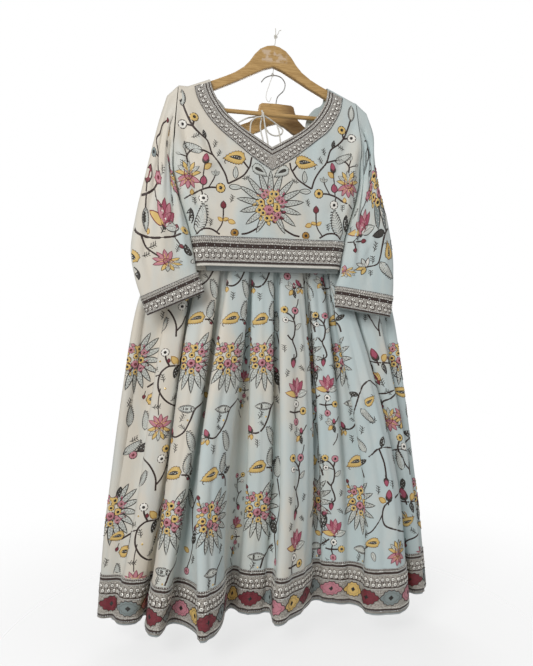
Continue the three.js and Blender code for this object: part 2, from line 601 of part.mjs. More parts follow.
const skirtRows = [...borderRows, ...SKIRT_ROWS.map((drop) => -drop), -SKIRT_TOP];
addCloth("skirt_front", ICE_BLUE, skirtSurface, frontColumns, skirtRows);
addCloth("skirt_back", ICE_BLUE, skirtSurface, backColumns, skirtRows);
addCloth("skirt_hem_border_front", BORDER_TAUPE, skirtSurface, frontColumns, borderRows,
  { lift: BORDER_LIFT, thick: BORDER_THICK });
addCloth("skirt_hem_border_back", BORDER_TAUPE, skirtSurface, backColumns, borderRows,
  { lift: BORDER_LIFT, thick: BORDER_THICK });
addCloth("skirt_lining_front", LINING_PALE, skirtSurface, frontColumns.slice(3, -3),
  [-SKIRT_HEM - LINING_SHOWS, ...borderRows],
  { lift: -SEAM_GAP - LINING_THICK, thick: LINING_THICK });

export default group;
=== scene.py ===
import math

import bpy
import numpy as np
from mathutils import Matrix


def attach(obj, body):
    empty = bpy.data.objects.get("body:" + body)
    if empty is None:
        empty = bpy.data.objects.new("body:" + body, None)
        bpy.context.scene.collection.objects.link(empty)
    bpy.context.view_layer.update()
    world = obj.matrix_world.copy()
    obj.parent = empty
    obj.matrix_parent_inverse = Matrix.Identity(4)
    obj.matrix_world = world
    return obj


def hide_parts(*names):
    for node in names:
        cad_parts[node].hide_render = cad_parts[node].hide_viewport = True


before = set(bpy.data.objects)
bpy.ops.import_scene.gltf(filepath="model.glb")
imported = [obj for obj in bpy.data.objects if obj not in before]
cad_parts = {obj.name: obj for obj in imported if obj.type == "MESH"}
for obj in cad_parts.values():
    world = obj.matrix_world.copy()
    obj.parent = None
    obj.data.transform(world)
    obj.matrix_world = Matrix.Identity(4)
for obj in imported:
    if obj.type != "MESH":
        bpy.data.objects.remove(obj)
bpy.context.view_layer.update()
bpy.ops.object.select_all(action="DESELECT")

# ---- Camera, lights and floor ----
# The camera stands level with the middle of the set and a little to its left. Large soft lamps
# stand to the left and right of it, and the floor fades out at its rim.
eye = bpy.data.cameras.new("camera")
eye.lens = 34.4
eye.sensor_width = 36
camera = bpy.data.objects.new("camera", eye)
camera.location = (-0.3828, -1.3523, -0.673)
camera.rotation_euler = (math.radians(90), 0, math.radians(-15))
bpy.context.scene.collection.objects.link(camera)
bpy.context.scene.camera = camera
bpy.context.scene.view_settings.view_transform = "Standard"

for lamp_name, place, aim, size, watts in [
    ("key_lamp", (-1.9, -2.2, 0.7), (0, 0, -0.6), 1.5, 60),
    ("fill_lamp", (2.3, -1.6, -0.2), (0, 0, -0.7), 1.8, 13),
    ("back_lamp", (0.4, 2.4, 0.5), (0, 0, -0.6), 1.8, 30),
]:
    lamp = bpy.data.lights.new(lamp_name, "AREA")
    lamp.size = size
    lamp.energy = watts
    holder = bpy.data.objects.new(lamp_name, lamp)
    holder.location = place
    facing = np.array(place) - np.array(aim)
    holder.rotation_euler = (math.acos(facing[2] / np.linalg.norm(facing)), 0,
                             math.atan2(facing[1], facing[0]) + math.pi / 2)
    bpy.context.scene.collection.objects.link(holder)

room = bpy.data.worlds.new("room")
room.use_nodes = True
room_light = room.node_tree.nodes["Background"]
room_light.inputs["Color"].default_value = (1, 1, 1, 1)
sky = room.node_tree.nodes.new("ShaderNodeBackground")
sky.inputs["Strength"].default_value = 0.36
rays = room.node_tree.nodes.new("ShaderNodeLightPath")
either = room.node_tree.nodes.new("ShaderNodeMixShader")
join_room = room.node_tree.links.new
join_room(rays.outputs["Is Camera Ray"], either.inputs[0])
join_room(sky.outputs[0], either.inputs[1])
join_room(room_light.outputs[0], either.inputs[2])
join_room(either.outputs[0], room.node_tree.nodes["World Output"].inputs["Surface"])
bpy.context.scene.world = room


class Shade:
    """A socket in a material's nodes. Arithmetic on it adds Math nodes."""

    def __init__(self, tree, socket=None):
        self.tree = tree
        self.socket = socket

    def node(self, kind, settings, sockets, out=0):
        made = self.tree.nodes.new("ShaderNode" + kind)
        for name, value in settings.items():
            setattr(made, name, value)
        for name, value in sockets.items():
            if isinstance(value, Shade):
                self.tree.links.new(value.socket, made.inputs[name])
            else:
                made.inputs[name].default_value = value
        return Shade(self.tree, made.outputs[out])

    def maths(self, operation, *values):
        return self.node("Math", {"operation": operation}, dict(enumerate(values)))

    def __add__(self, other):
        return self.maths("ADD", self, other)

    def __radd__(self, other):
        return self.maths("ADD", other, self)

    def __sub__(self, other):
        return self.maths("SUBTRACT", self, other)

    def __rsub__(self, other):
        return self.maths("SUBTRACT", other, self)

    def __mul__(self, other):
        return self.maths("MULTIPLY", self, other)

    def __rmul__(self, other):
        return self.maths("MULTIPLY", other, self)

    def __truediv__(self, other):
        return self.maths("DIVIDE", self, other)

    def rise(self, low, high):
        """0 below low and 1 above high, with a soft step between."""
        return self.node("MapRange", {"interpolation_type": "SMOOTHSTEP"},
                         {"Value": self, "From Min": low, "From Max": high})

    def stripe(self, middle, half, soft=0.15):
        """1 within half of the middle."""
        return 1 - self.maths("ABSOLUTE", self - middle).rise(half * (1 - soft), half * (1 + soft))

    def tint(self, low, high):
        """The colour low where this is 0 and high where it is 1."""
        return self.node("Mix", {"data_type": "RGBA"}, {0: self, 6: low, 7: high}, out=2)

    def noise(self, scale, detail=2.0):
        return self.node("TexNoise", {}, {"Vector": self, "Scale": scale, "Detail": detail})

    def part(self, axis):
        return self.node("SeparateXYZ", {}, {0: self}, out="XYZ".index(axis))

    def stretched(self, *scale):
        return self.node("Mapping", {}, {"Vector": self, "Scale": scale})

    def place(self):
        return self.node("TexCoord", {}, {}, out="Object")

    def cloth(self):
        return self.node("UVMap", {}, {})

    def relief(self, height, distance, strength=1.0):
        return self.node("Bump", {}, {"Height": height, "Distance": distance, "Strength": strength})

    def into(self, shader, name):
        self.tree.links.new(self.socket, shader.inputs[name])


def paint(code):
    """The linear colour of a six-digit colour code."""
    parts = [int(code[i:i + 2], 16) / 255 for i in (0, 2, 4)]
    return (*[p / 12.92 if p < 0.04045 else ((p + 0.055) / 1.055) ** 2.4 for p in parts], 1)


def new_finish(name, **constants):
    """A new material, its nodes and its main shader, with the sockets that are the same all over."""
    made = bpy.data.materials.new(name)
    made.use_nodes = True
    shader = made.node_tree.nodes["Principled BSDF"]
    for socket, value in constants.items():
        shader.inputs[socket.replace("_", " ")].default_value = value
    return made, Shade(made.node_tree), shader


def add_mesh(name, points, faces, finish, flat=(), smooth=True):
    """A mesh of points in millimetres. flat gives each point's place on the cut cloth."""
    mesh = bpy.data.meshes.new(name)
    mesh.from_pydata((np.asarray(points, float) / 1000).tolist(), [], faces)
    if len(flat):
        corner = np.zeros(len(mesh.loops), np.int32)
        mesh.loops.foreach_get("vertex_index", corner)
        layer = mesh.uv_layers.new(name="UVMap")
        layer.data.foreach_set("uv", (np.asarray(flat, np.float32) / 1000)[corner].ravel())
    mesh.shade_smooth() if smooth else mesh.shade_flat()
    mesh.materials.append(finish)
    made = bpy.data.objects.new(name, mesh)
    bpy.context.scene.collection.objects.link(made)
    return made


floor_paint, floor_nodes, floor_shader = new_finish("floor_paint", Roughness=0.9)
floor_place = floor_nodes.place()
(floor_place.noise(9.0) * 0.2).tint(paint("ffffff"), paint("f6f5f3")).into(floor_shader, "Base Color")
far = floor_place.node("VectorMath", {"operation": "LENGTH"}, {0: floor_place.stretched(1, 1, 0)}, out=1)
((1 - far.rise(0.3, 1.3)) * 0.32).into(floor_shader, "Alpha")
turns = np.linspace(0, 2 * np.pi, 97)[:-1]
floor = add_mesh("floor", [(1600 * math.cos(t), 1600 * math.sin(t), -1340) for t in turns],
                 [list(range(96))], floor_paint)

# ---- String, threads and ties ----
# The set hangs by a knotted cotton string. A thread ties the lower hanger's hook under the upper
# hanger, and the blouse's white neck ties are gathered round the bar. All are twisted cotton.
cotton, cotton_nodes, cotton_shader = new_finish("cotton", Sheen_Weight=0.3)
ply = cotton_nodes.cloth()
twist = ply.maths("SINE", ply.part("X") * 1000 + ply.part("Y") * 2600)
cotton_nodes.place().noise(420).tint(paint("efece4"), paint("cfcabd")).into(cotton_shader, "Base Color")
(0.72 + 0.2 * cotton_nodes.place().noise(700)).into(cotton_shader, "Roughness")
cotton_nodes.relief(twist * 0.5 + cotton_nodes.place().noise(2500), 0.0002).into(cotton_shader, "Normal")


def cord_line(route, steps=10):
    """The smooth line through a route's points of X, Y and drop, in millimetres."""
    points = np.array([(x, y, -drop) for x, y, drop in route], float)
    ends = [2 * points[0] - points[1], *points, 2 * points[-1] - points[-2]]
    line = []
    for p0, p1, p2, p3 in zip(ends, ends[1:], ends[2:], ends[3:]):
        d0, d1, d2 = (np.linalg.norm(b - a) ** 0.5 for a, b in ((p0, p1), (p1, p2), (p2, p3)))
        m1 = ((p1 - p0) / d0 - (p2 - p0) / (d0 + d1) + (p2 - p1) / d1) * d1
        m2 = ((p2 - p1) / d1 - (p3 - p1) / (d1 + d2) + (p3 - p2) / d2) * d1
        for t in np.arange(steps) / steps:
            line.append((2 * t**3 - 3 * t**2 + 1) * p1 + (t**3 - 2 * t**2 + t) * m1
                        + (3 * t**2 - 2 * t**3) * p2 + (t**3 - t**2) * m2)
    return np.array([*line, points[-1]])


def cord_tube(line, diameter, strands=2, twist_length=9, closed=False):
    """Points, faces and cloth places of a twisted cord along a line, with rounded ends."""
    sides = 12
    line = np.asarray(line, float)
    ahead = np.roll(line, -1, 0) - np.roll(line, 1, 0) if closed else np.gradient(line, axis=0)
    ahead /= np.linalg.norm(ahead, axis=1)[:, None]
    across = np.zeros_like(line)
    side = np.cross(ahead[0], (0.3, 0.5, 0.81))
    for i, direction in enumerate(ahead):
        side = side - direction * (side @ direction)
        side /= np.linalg.norm(side)
        across[i] = side
    other = np.cross(ahead, across)
    along = np.concatenate([[0], np.cumsum(np.linalg.norm(np.diff(line, axis=0), axis=1))])
    turn = np.linspace(0, 2 * np.pi, sides, endpoint=False)
    wave = 1 + 0.1 * np.cos(strands * (turn[None] - along[:, None] * 2 * np.pi / (strands * twist_length)))
    wide = diameter / 2 * np.ones(len(line))
    if not closed:
        wide[[0, -1]] *= 0.55
    reach = (wide[:, None] * wave)[..., None]
    rings = line[:, None] + reach * (np.cos(turn)[None, :, None] * across[:, None]
                                     + np.sin(turn)[None, :, None] * other[:, None])
    count = len(line)
    i, j = np.meshgrid(np.arange(count if closed else count - 1), np.arange(sides), indexing="ij")
    after, beside = (i + 1) % count, (j + 1) % sides
    faces = np.stack([i * sides + j, i * sides + beside, after * sides + beside, after * sides + j], -1)
    faces = faces.reshape(-1, 4).tolist()
    if not closed:
        faces += [list(range(sides))[::-1], [(count - 1) * sides + k for k in range(sides)]]
    flat = np.stack([np.broadcast_to(turn, wave.shape) * diameter / 2,
                     np.broadcast_to(along[:, None], wave.shape)], -1).reshape(-1, 2)
    return rings.reshape(-1, 3), faces, flat


def knot_line(x, y, drop, size):
    """The closed line of a small overhand knot, pulled tight."""
    t = np.linspace(0, 2 * np.pi, 48, endpoint=False)
    loop = np.stack([(2 + np.cos(3 * t)) * np.cos(2 * t), np.sin(3 * t) * 1.3,
                     (2 + np.cos(3 * t)) * np.sin(2 * t) * 1.2], -1)
    return loop * size / 3 + (x, y, -drop)


def joined(parts):
    """Several tubes as one set of points, faces and cloth places."""
    points, faces, flats, count = [], [], [], 0
    for some, around, flat in parts:
        points.append(some)
        flats.append(flat)
        faces += [[count + k for k in face] for face in around]
        count += len(some)
    return np.concatenate(points), faces, np.concatenate(flats)


def put_on(piece, node=""):
    """Rides a piece on the one body and hides the solid that it stands for."""
    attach(piece, "root")
    if node:
        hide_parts(node)
    return piece


def cotton_piece(name, tube, node=""):
    points, faces, flat = tube
    return put_on(add_mesh(name, points, faces, cotton, flat), node)


STRING_ROUTE = [(0, 0, 0), (0.6, 0, 14), (0, 0, 27), (-2, 0, 40.4)]
THREAD_TAIL_ROUTE = [(-4, 13, 102.1), (-10, 17, 121), (-15, 19, 137), (-16, 19, 150), (-10, 19, 157), (-4, 19, 146)]
TIE_ROUTES = {
    "tie_to_neck": [(-31, 9.1, 192), (-32, 11.4, 192), (-45, 11, 196), (-62, 10, 201), (-82, 10, 213),
                    (-98.2, 11.9, 230)],
    "tie_loop": [(-28.6, 4.9, 197.1), (-26, 5.3, 198.6), (-20, 5.5, 222), (-12, 5, 232), (2, 5, 236), (15, 5, 231),
                 (18, 5, 222), (4, 4, 211), (-14, -3, 203), (-25.6, -5.4, 198.2), (-28.6, -4.9, 197)],
    "tie_tail_left": [(-31, -6.5, 198.5), (-32, -8.3, 200.2), (-47, -7, 204), (-56, -6, 214), (-59, -6, 236),
                      (-61, -8, 262)],
    "tie_tail_middle": [(-31, 0, 200.9), (-33.5, 0, 210), (-34, 0, 227), (-29, -1, 249), (-28, -4, 270)],
    "tie_tail_right": [(-31, -9.1, 192), (-31, -11.4, 193.2), (-26.5, -11, 224), (-20, -9, 256), (-18, -8, 276)],
    "tie_tail_end": [(4.6, 4.4, 214.7), (7.5, 2, 222), (10.5, -2, 248), (12, -4, 262)],
}

STRING_THICK, THREAD_THICK, TIE_THICK = 1.8, 1.2, 3.2
cotton_piece("string_knots", joined([
    cord_tube(knot_line(0.4, 0, 19, 3.6), 1.7, closed=True),
    cord_tube(cord_line([(0.4, 0, 19), (5, -1, 13), (9, -1, 5), (13, -1, 3.4)]), 1.5),
    cord_tube(knot_line(-3, 11.5, 99.5, 3.2), THREAD_THICK, closed=True),
]))

for cord_name, route, thick in [
    ("hanging_string", STRING_ROUTE, STRING_THICK),
    ("link_thread_tail", THREAD_TAIL_ROUTE, THREAD_THICK),
    *[(name, route, TIE_THICK) for name, route in TIE_ROUTES.items()],
]:
    line = cord_line(route)
    piece = cotton_piece(cord_name + "_cord", cord_tube(line, thick), cord_name)
    tip = []
    if cord_name.startswith("tie_tail"):
        x, y, z = line[-1]
        tip.append(cotton_piece(cord_name + "_knot", cord_tube(knot_line(x, y, -z - 1, 3.4), 2.4, closed=True)))
    length = float(np.linalg.norm(np.diff(line, axis=0), axis=1).sum()) / 1000
    thick / 1000
    "knot" if tip else "bare" if cord_name == "link_thread_tail" else "object"
    "taut" if cord_name == "hanging_string" else "hanging"

link_line = cord_line([(-4, 3, 89.4), (-3.5, 6, 93), (-3, 11.5, 98.4)])
cotton_piece("link_thread_cord", cord_tube(link_line, THREAD_THICK), "link_thread")

around = np.linspace(0, 2 * np.pi, 40, endpoint=False)
cotton_piece("tie_winding", joined([
    cord_tube(np.stack([-31 + 1.6 * lean * np.sin(around + lean), 6.7 * np.cos(around),
                        -192 + 6.7 * np.sin(around)], -1), 2.6, closed=True)
    for lean in (-0.8, 0.7)
]), "tie_round_bar")

# ---- Hangers ----
# Two contoured hangers of varnished beech. The upper one has a round trouser bar pegged into its
# arms. The lower one hangs from a bent wire hook, and two cotton tapes carry the skirt from its arms.
def coat(finish, *nodes):
    for node in nodes:
        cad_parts[node].data.materials.clear()
        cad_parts[node].data.materials.append(finish)


wood, wood_nodes, wood_shader = new_finish("varnished_wood", Coat_Roughness=0.25)
spot = wood_nodes.place()
grain = spot.stretched(9, 60, 90).noise(6, 5)
pores = spot.stretched(30, 400, 400).noise(5, 3)
tone = grain.rise(0.34, 0.7).tint(paint("cda76c"), paint("b08a52"))
tone = (pores.rise(0.56, 0.72) * 0.35).tint(tone, paint("8a6235"))
# Painted shade: the wood right of the middle and behind the upper hanger (the lower hanger's right arm, turned away
# from the lamps) is darkened towards 4f2f17.
painted_shade_arm = spot.part("X").rise(0.006, 0.05) * spot.part("Y").rise(0.018, 0.022)
tone = (painted_shade_arm * 0.62).tint(tone, paint("4f2f17"))
rubbed = spot.maths("ABSOLUTE", spot.part("X") + 0.006).rise(0.034, 0.026) \
    * spot.noise(70, 4).rise(0.42, 0.56) * (spot.part("Z") + 0.052).rise(0.002, -0.004) \
    * (1 - (spot.part("Z") + 0.076).rise(0.002, -0.006))
tone = (rubbed * 0.7).tint(tone, paint("d9c3ab"))
tone.into(wood_shader, "Base Color")
(0.36 + 0.2 * grain + 0.2 * rubbed).into(wood_shader, "Roughness")
(0.4 - 0.3 * rubbed).into(wood_shader, "Coat Weight")
wood_nodes.relief(grain + pores * 0.6, 0.0002).into(wood_shader, "Normal")
coat(wood, "upper_hanger_body", "upper_hanger_bar", "lower_hanger_body")

wire, wire_nodes, wire_shader = new_finish("bent_wire", Metallic=1.0)
wire_nodes.place().noise(180, 4).tint(paint("b9b8b4"), paint("7f7d78")).into(wire_shader, "Base Color")
(0.28 + 0.2 * wire_nodes.place().noise(900)).into(wire_shader, "Roughness")
coat(wire, "lower_hanger_hook")

tape, tape_nodes, tape_shader = new_finish("cotton_tape", Sheen_Weight=0.25)
rib = tape_nodes.place()
ribs = rib.maths("SINE", rib.part("Z") * 7000)
rib.noise(300).tint(paint("e9e5da"), paint("d2ccbd")).into(tape_shader, "Base Color")
(0.8 - 0.1 * ribs).into(tape_shader, "Roughness")
tape_nodes.relief(ribs, 0.0001).into(tape_shader, "Normal")
coat(tape, "hanging_loop_left", "hanging_loop_right")

# ---- Blouse body ----
# Front and back are cut from satin-faced georgette, cream that turns to ice blue with the light; that turn is
# painted sheen in its colour. They are sewn at the sides and shoulders. Each is a thin shell with soft drag lines from
# the armholes.
georgette, cloth_nodes, cloth_shader = new_finish("georgette", Sheen_Weight=0.25, Sheen_Roughness=0.4,
                                                  Specular_IOR_Level=0.4)
spread = cloth_nodes.place()
cloud = spread.stretched(9, 9, 3.2).noise(1.0, 3)
patch = spread.stretched(24, 20, 9).noise(1.0, 4)
# Painted sheen: the colour turns from cream to ice blue from left to right across X, and a little lower down, as the
# light falls on the satin. This lies over random patches of the cloth's own cream and blue.
patches_and_painted_sheen = cloud * 0.9 + patch * 0.45 + spread.part("X") * 0.55 - spread.part("Z") * 0.1
tone = patches_and_painted_sheen.rise(0.52, 0.86).tint(paint("e2dacb"), paint("c6d4d4"))
tone = (patch.rise(0.4, 0.75) * 0.6).tint(tone, paint("dbdcd6"))
tone.into(cloth_shader, "Base Color")
weave_place = cloth_nodes.cloth()
warp = weave_place.maths("SINE", weave_place.part("X") * 9000)
weft = weave_place.maths("SINE", weave_place.part("Y") * 9000)
slub = weave_place.stretched(300, 900, 1).noise(1.0, 3)
(0.44 + 0.2 * slub).into(cloth_shader, "Roughness")
cloth_nodes.relief(warp * weft * 0.3 + slub, 0.00025, 0.5).into(cloth_shader, "Normal")

CENTRE = -15
TIP = 199
SHOULDER_RISE = 3.4
HEM_BORDER = 57
YOKE, UNDERARM, NECK_HALF = 330, 316, 134
FRONT_HEM, BACK_HEM = 525, 538
HANGER_OUT, HANGER_DROP = zip((0, 40.5), (14, 43), (29, 50.5), (42, 64), (53, 80), (66, 94), (86, 108), (108, 119),
                              (135, 131), (188, 153.6))
SIDE_DROP, SIDE_HALF = zip((120, 190), (158, 199), (316, 211), (367, 203), (404, 192), (440, 180), (497, 167),
                           (545, 159))
FRONT_DEPTH = list(zip((120, 11.5), (180, 15), (260, 23), (400, 25), (545, 23)))
BACK_DEPTH = list(zip((120, 11), (545, 11)))
FRONT_NECK = list(zip((0, 271), (26, 256), (65, 232), (95, 206), (116, 178), (129, 152), (134, 124)))
FRONT_EDGE = list(zip((0, 322), (42, 296), (92, 258), (127, 229), (150, 198), (163, 170), (168, 140)))
BACK_NECK = list(zip((0, 306), (30, 304), (58, 294), (78, 270), (86, 230), (90, 195), (108, 168), (129, 152),
                     (134, 124)))
PANELS = ("front", True, FRONT_NECK, FRONT_HEM), ("back", False, BACK_NECK, BACK_HEM)
# Drag lines as X and drop of two ends, width and height
FRONT_FOLDS = [
    (-196, 205, -150, 330, 9, 3.2), (-208, 235, -172, 420, 8, -3.5), (-190, 330, -120, 300, 11, 2.4),
    (-215, 345, -150, 400, 10, -2.2), (-168, 400, -152, 520, 12, 2.2), (176, 210, 128, 335, 10, -3.2),
    (186, 240, 150, 430, 8, 3.4), (168, 330, 96, 300, 12, 2.2), (190, 350, 118, 405, 10, -2.2),
    (138, 400, 118, 520, 12, 2.4), (-70, 340, -96, 470, 16, 1.8), (60, 330, 84, 470, 15, -1.8),
    (-30, 400, -12, 520, 20, 1.6), (0, 340, -60, 380, 14, -1.2), (-130, 180, -110, 300, 12, -1.4),
    (112, 190, 88, 300, 12, 1.5), (30, 470, 44, 530, 9, -1.6), (-120, 470, -110, 530, 9, 1.6),
]
BACK_FOLDS = [
    (-190, 210, -140, 350, 11, 2.4), (-206, 240, -170, 430, 9, -2.6), (-150, 330, -80, 420, 14, 1.8),
    (170, 215, 116, 345, 11, -2.6), (182, 245, 146, 430, 9, 2.8), (120, 335, 50, 420, 14, -1.8),
    (-20, 330, -30, 530, 20, 1.8), (-100, 420, -90, 530, 12, -1.8), (70, 420, 64, 530, 12, 1.8),
]


def reading(at, places, values):
    """A smooth curve through a short table, read at any place."""
    places, values, at = np.array(places, float), np.array(values, float), np.asarray(at, float)
    order = np.arange(len(places))
    before, after = np.maximum(order - 1, 0), np.minimum(order + 1, len(places) - 1)
    slope = (values[after] - values[before]) / (places[after] - places[before])
    i = np.clip(np.searchsorted(places, at) - 1, 0, len(places) - 2)
    span = places[i + 1] - places[i]
    t = np.clip((at - places[i]) / span, 0, 1)
    climb = t * t * (3 - 2 * t)
    return values[i] * (1 - climb) + values[i + 1] * climb + span * (
        t * (1 - t) ** 2 * slope[i] - t * t * (1 - t) * slope[i + 1])


def opened(distance, reach):
    """How far a cloth edge has opened: 0 at the edge and 1 where it runs flat."""
    q = np.clip(distance / reach, 0, 1)
    return np.sqrt(q * (2 - q))


def smooth(value):
    value = np.clip(value, 0, 1)
    return value * value * (3 - 2 * value)


def fold_height(across, down, folds):
    """The height of the soft ridges and troughs at each point."""
    height = np.zeros(np.broadcast(across, down).shape)
    for x0, d0, x1, d1, width, high in folds:
        run = np.array((x1 - x0, d1 - d0), float)
        length = np.linalg.norm(run)
        run /= length
        along = ((across - x0) * run[0] + (down - d0) * run[1]) / length
        aside = (across - x0) * run[1] - (down - d0) * run[0]
        height += high * np.exp(-(aside / width) ** 2) * smooth((along + 0.25) / 0.5) * smooth((1.25 - along) / 0.5)
    return height


def shoulder_drop(x):
    return reading(np.abs(x + 6), HANGER_OUT, HANGER_DROP) - SHOULDER_RISE


def panel_depth(depth, x, drop):
    half = reading(drop, SIDE_DROP, SIDE_HALF)
    shut = 1 - smooth((UNDERARM - drop) / 60)
    side = 1 - shut * (1 - opened(half - np.abs(x - CENTRE), 26))
    return 0.15 + reading(drop, *depth) * side * opened(drop - shoulder_drop(x), 12)


def panel_point(front, x, drop):
    """The base surface of the front or back panel, with its folds."""
    depth = panel_depth(FRONT_DEPTH if front else BACK_DEPTH, x, drop)
    soft = 1.5 * fold_height(x, drop, FRONT_FOLDS if front else BACK_FOLDS) * opened(depth - 3, 12)
    away = -1 if front else 1
    return np.stack(np.broadcast_arrays(x, away * (depth + soft), -drop), -1)


def panel_place(u, v, neck, hem):
    """X and drop on a panel: u from -1 to 1 across, v 0 at the hem, 1 at the yoke line and 2 at the top."""
    x, out = CENTRE + u * TIP, np.abs(u) * TIP
    shoulder = shoulder_drop(x)
    top = np.where(out < NECK_HALF, np.maximum(reading(out, *neck), shoulder), shoulder)
    climb = np.maximum(v - 1, 0)
    drop = np.where(v < 1, hem + (YOKE - hem) * v, YOKE + (top - YOKE) * climb)
    half, top_half = reading(drop, SIDE_DROP, SIDE_HALF), reading(top, SIDE_DROP, SIDE_HALF)
    return CENTRE + u * half * (1 + (TIP / top_half - 1) * climb), drop


def facing_of(grid):
    """The outward direction at each point of a grid whose rows go up and whose columns go round."""
    across, up = np.gradient(grid, axis=1), np.gradient(grid, axis=0)
    away = np.cross(across, up)
    return away / np.maximum(np.linalg.norm(away, axis=-1), 1e-9)[..., None]


def wall(name, grid, flat, finish, lift=0.3, thick=1.2, loop=False):
    """A thin shell of cloth on a grid of points, with closed edges."""
    away = facing_of(np.concatenate([grid[:, -2:-1], grid, grid[:, 1:2]], 1))[:, 1:-1] if loop else facing_of(grid)
    if loop:
        grid, away, flat = grid[:, :-1], away[:, :-1], flat[:, :-1]
    rows, columns = grid.shape[:2]
    points = np.concatenate([(grid + away * (lift + thick)).reshape(-1, 3), (grid + away * lift).reshape(-1, 3)])
    number = np.arange(rows * columns).reshape(rows, columns)
    beside = np.roll(number, -1, 1)
    a, b, c, d = number[:-1], beside[:-1], beside[1:], number[1:]
    if not loop:
        a, b, c, d = (part[:, :-1] for part in (a, b, c, d))
    outer = np.stack([a, b, c, d], -1).reshape(-1, 4)
    inner = outer[:, ::-1] + rows * columns
    low, high = number[0], number[-1]
    ends = columns if loop else columns - 1
    rim = [np.stack([np.roll(low, -1), low, low + rows * columns, np.roll(low, -1) + rows * columns], -1)[:ends],
           np.stack([high, np.roll(high, -1), np.roll(high, -1) + rows * columns, high + rows * columns], -1)[:ends]]
    if not loop:
        left, right = number[:, 0], number[:, -1]
        rim += [np.stack([left[:-1], left[1:], left[1:] + rows * columns, left[:-1] + rows * columns], -1),
                np.stack([right[1:], right[:-1], right[:-1] + rows * columns, right[1:] + rows * columns], -1)]
    faces = np.concatenate([outer, inner, *rim]).tolist()
    return add_mesh(name, points, faces, finish, np.concatenate([flat.reshape(-1, 2)] * 2))


def finer(values, times):
    """Each step of a list of values cut into equal shares."""
    values = np.array(values, float)
    return np.interp(np.arange((len(values) - 1) * times + 1) / times, np.arange(len(values)), values)


outs = [0, 26, 50, 74, 95, 112, 124, 130, 132.4, 133.5, 134, 150, 170, 189, 199]
panel_columns = finer([-out for out in outs[:0:-1]] + outs, 7) / TIP
TOP_ROWS = [1.25, 1.5, 1.7, 1.85, 1.93, 1.965, 1.985, 2]
for part_name, front, neck, hem in PANELS:
    border = HEM_BORDER / (hem - YOKE)
    rows = finer([0, border / 2, border, 0.5, 0.78, 1] + TOP_ROWS, 9)
    u, v = np.meshgrid(panel_columns if front else panel_columns[::-1], rows)
    x, drop = panel_place(u, v, neck, hem)
    body = wall("blouse_" + part_name + "_cloth", panel_point(front, x, drop), np.stack([x, drop], -1), georgette)
    put_on(body, "blouse_" + part_name)

# ---- Sleeves ----
# Each sleeve is one tapering piece of the same georgette, set into the armhole and sewn along the
# underarm. Lengthwise folds run from the shoulder to the cuff.
SLEEVES = {
    "left": (-1, [
        (-237, 174, 3.5, 332, 0, 13, 11), (-252, 222, 3.8, 353, -1, 12, 20), (-263, 264, 3.9, 386, -3, 13, 24),
        (-280, 334, 3.5, 426, -5, 14, 28), (-300, 420, 3.6, 464, -7, 14, 30), (-312, 498, 3.8, 506, -9, 13, 30),
        (-305, 553, 4, 530, -11, 12, 28), (-292, 597, 3.5, 545, -12, 11, 26), (-277, 636, -11.5, 587, -13, 11, 26)]),
    "right": (1, [
        (212, 171, 3.5, 332, 0, 13, 11), (230, 216, 3.5, 353, -1, 12, 20), (232, 266, 3.5, 386, -3, 13, 24),
        (243, 338, 3.5, 426, -5, 14, 28), (264, 415, 3.5, 464, -7, 14, 30), (276, 490, 3.8, 510, -9, 13, 30),
        (277, 545, 4, 541, -11, 12, 28), (275, 588, -4.5, 568, -12, 11, 26), (266, 637, -6, 616, -13, 11, 26)]),
}
# Folds as share across and row of two ends, width and height
SLEEVE_FOLDS = {
    "left": [(0.3, 8.6, 0.42, 4.5, 0.06, 3.2), (0.62, 8.2, 0.7, 3.4, 0.05, -3.5), (0.18, 6.8, 0.22, 2.0, 0.06, -2.6),
             (0.82, 7.5, 0.86, 2.4, 0.05, 2.6), (0.48, 4.6, 0.5, 1.2, 0.08, 2.0), (0.1, 5.2, 0.6, 3.6, 0.05, -1.6)],
    "right": [(0.3, 8.8, 0.36, 6.2, 0.05, -5.5), (0.42, 8.6, 0.46, 5.6, 0.05, 4.0), (0.68, 7.8, 0.7, 3.2, 0.06, -3.0),
              (0.16, 6.6, 0.2, 2.0, 0.06, 2.6), (0.84, 6.8, 0.82, 2.2, 0.05, 2.6), (0.5, 4.6, 0.52, 1.3, 0.07, -2.2),
              (0.1, 4.4, 0.6, 3.2, 0.05, 1.6)],
}
ARMHOLE_GAP, UNDERARM_GAP = 0.1, 3
ROW_LENGTH = 52


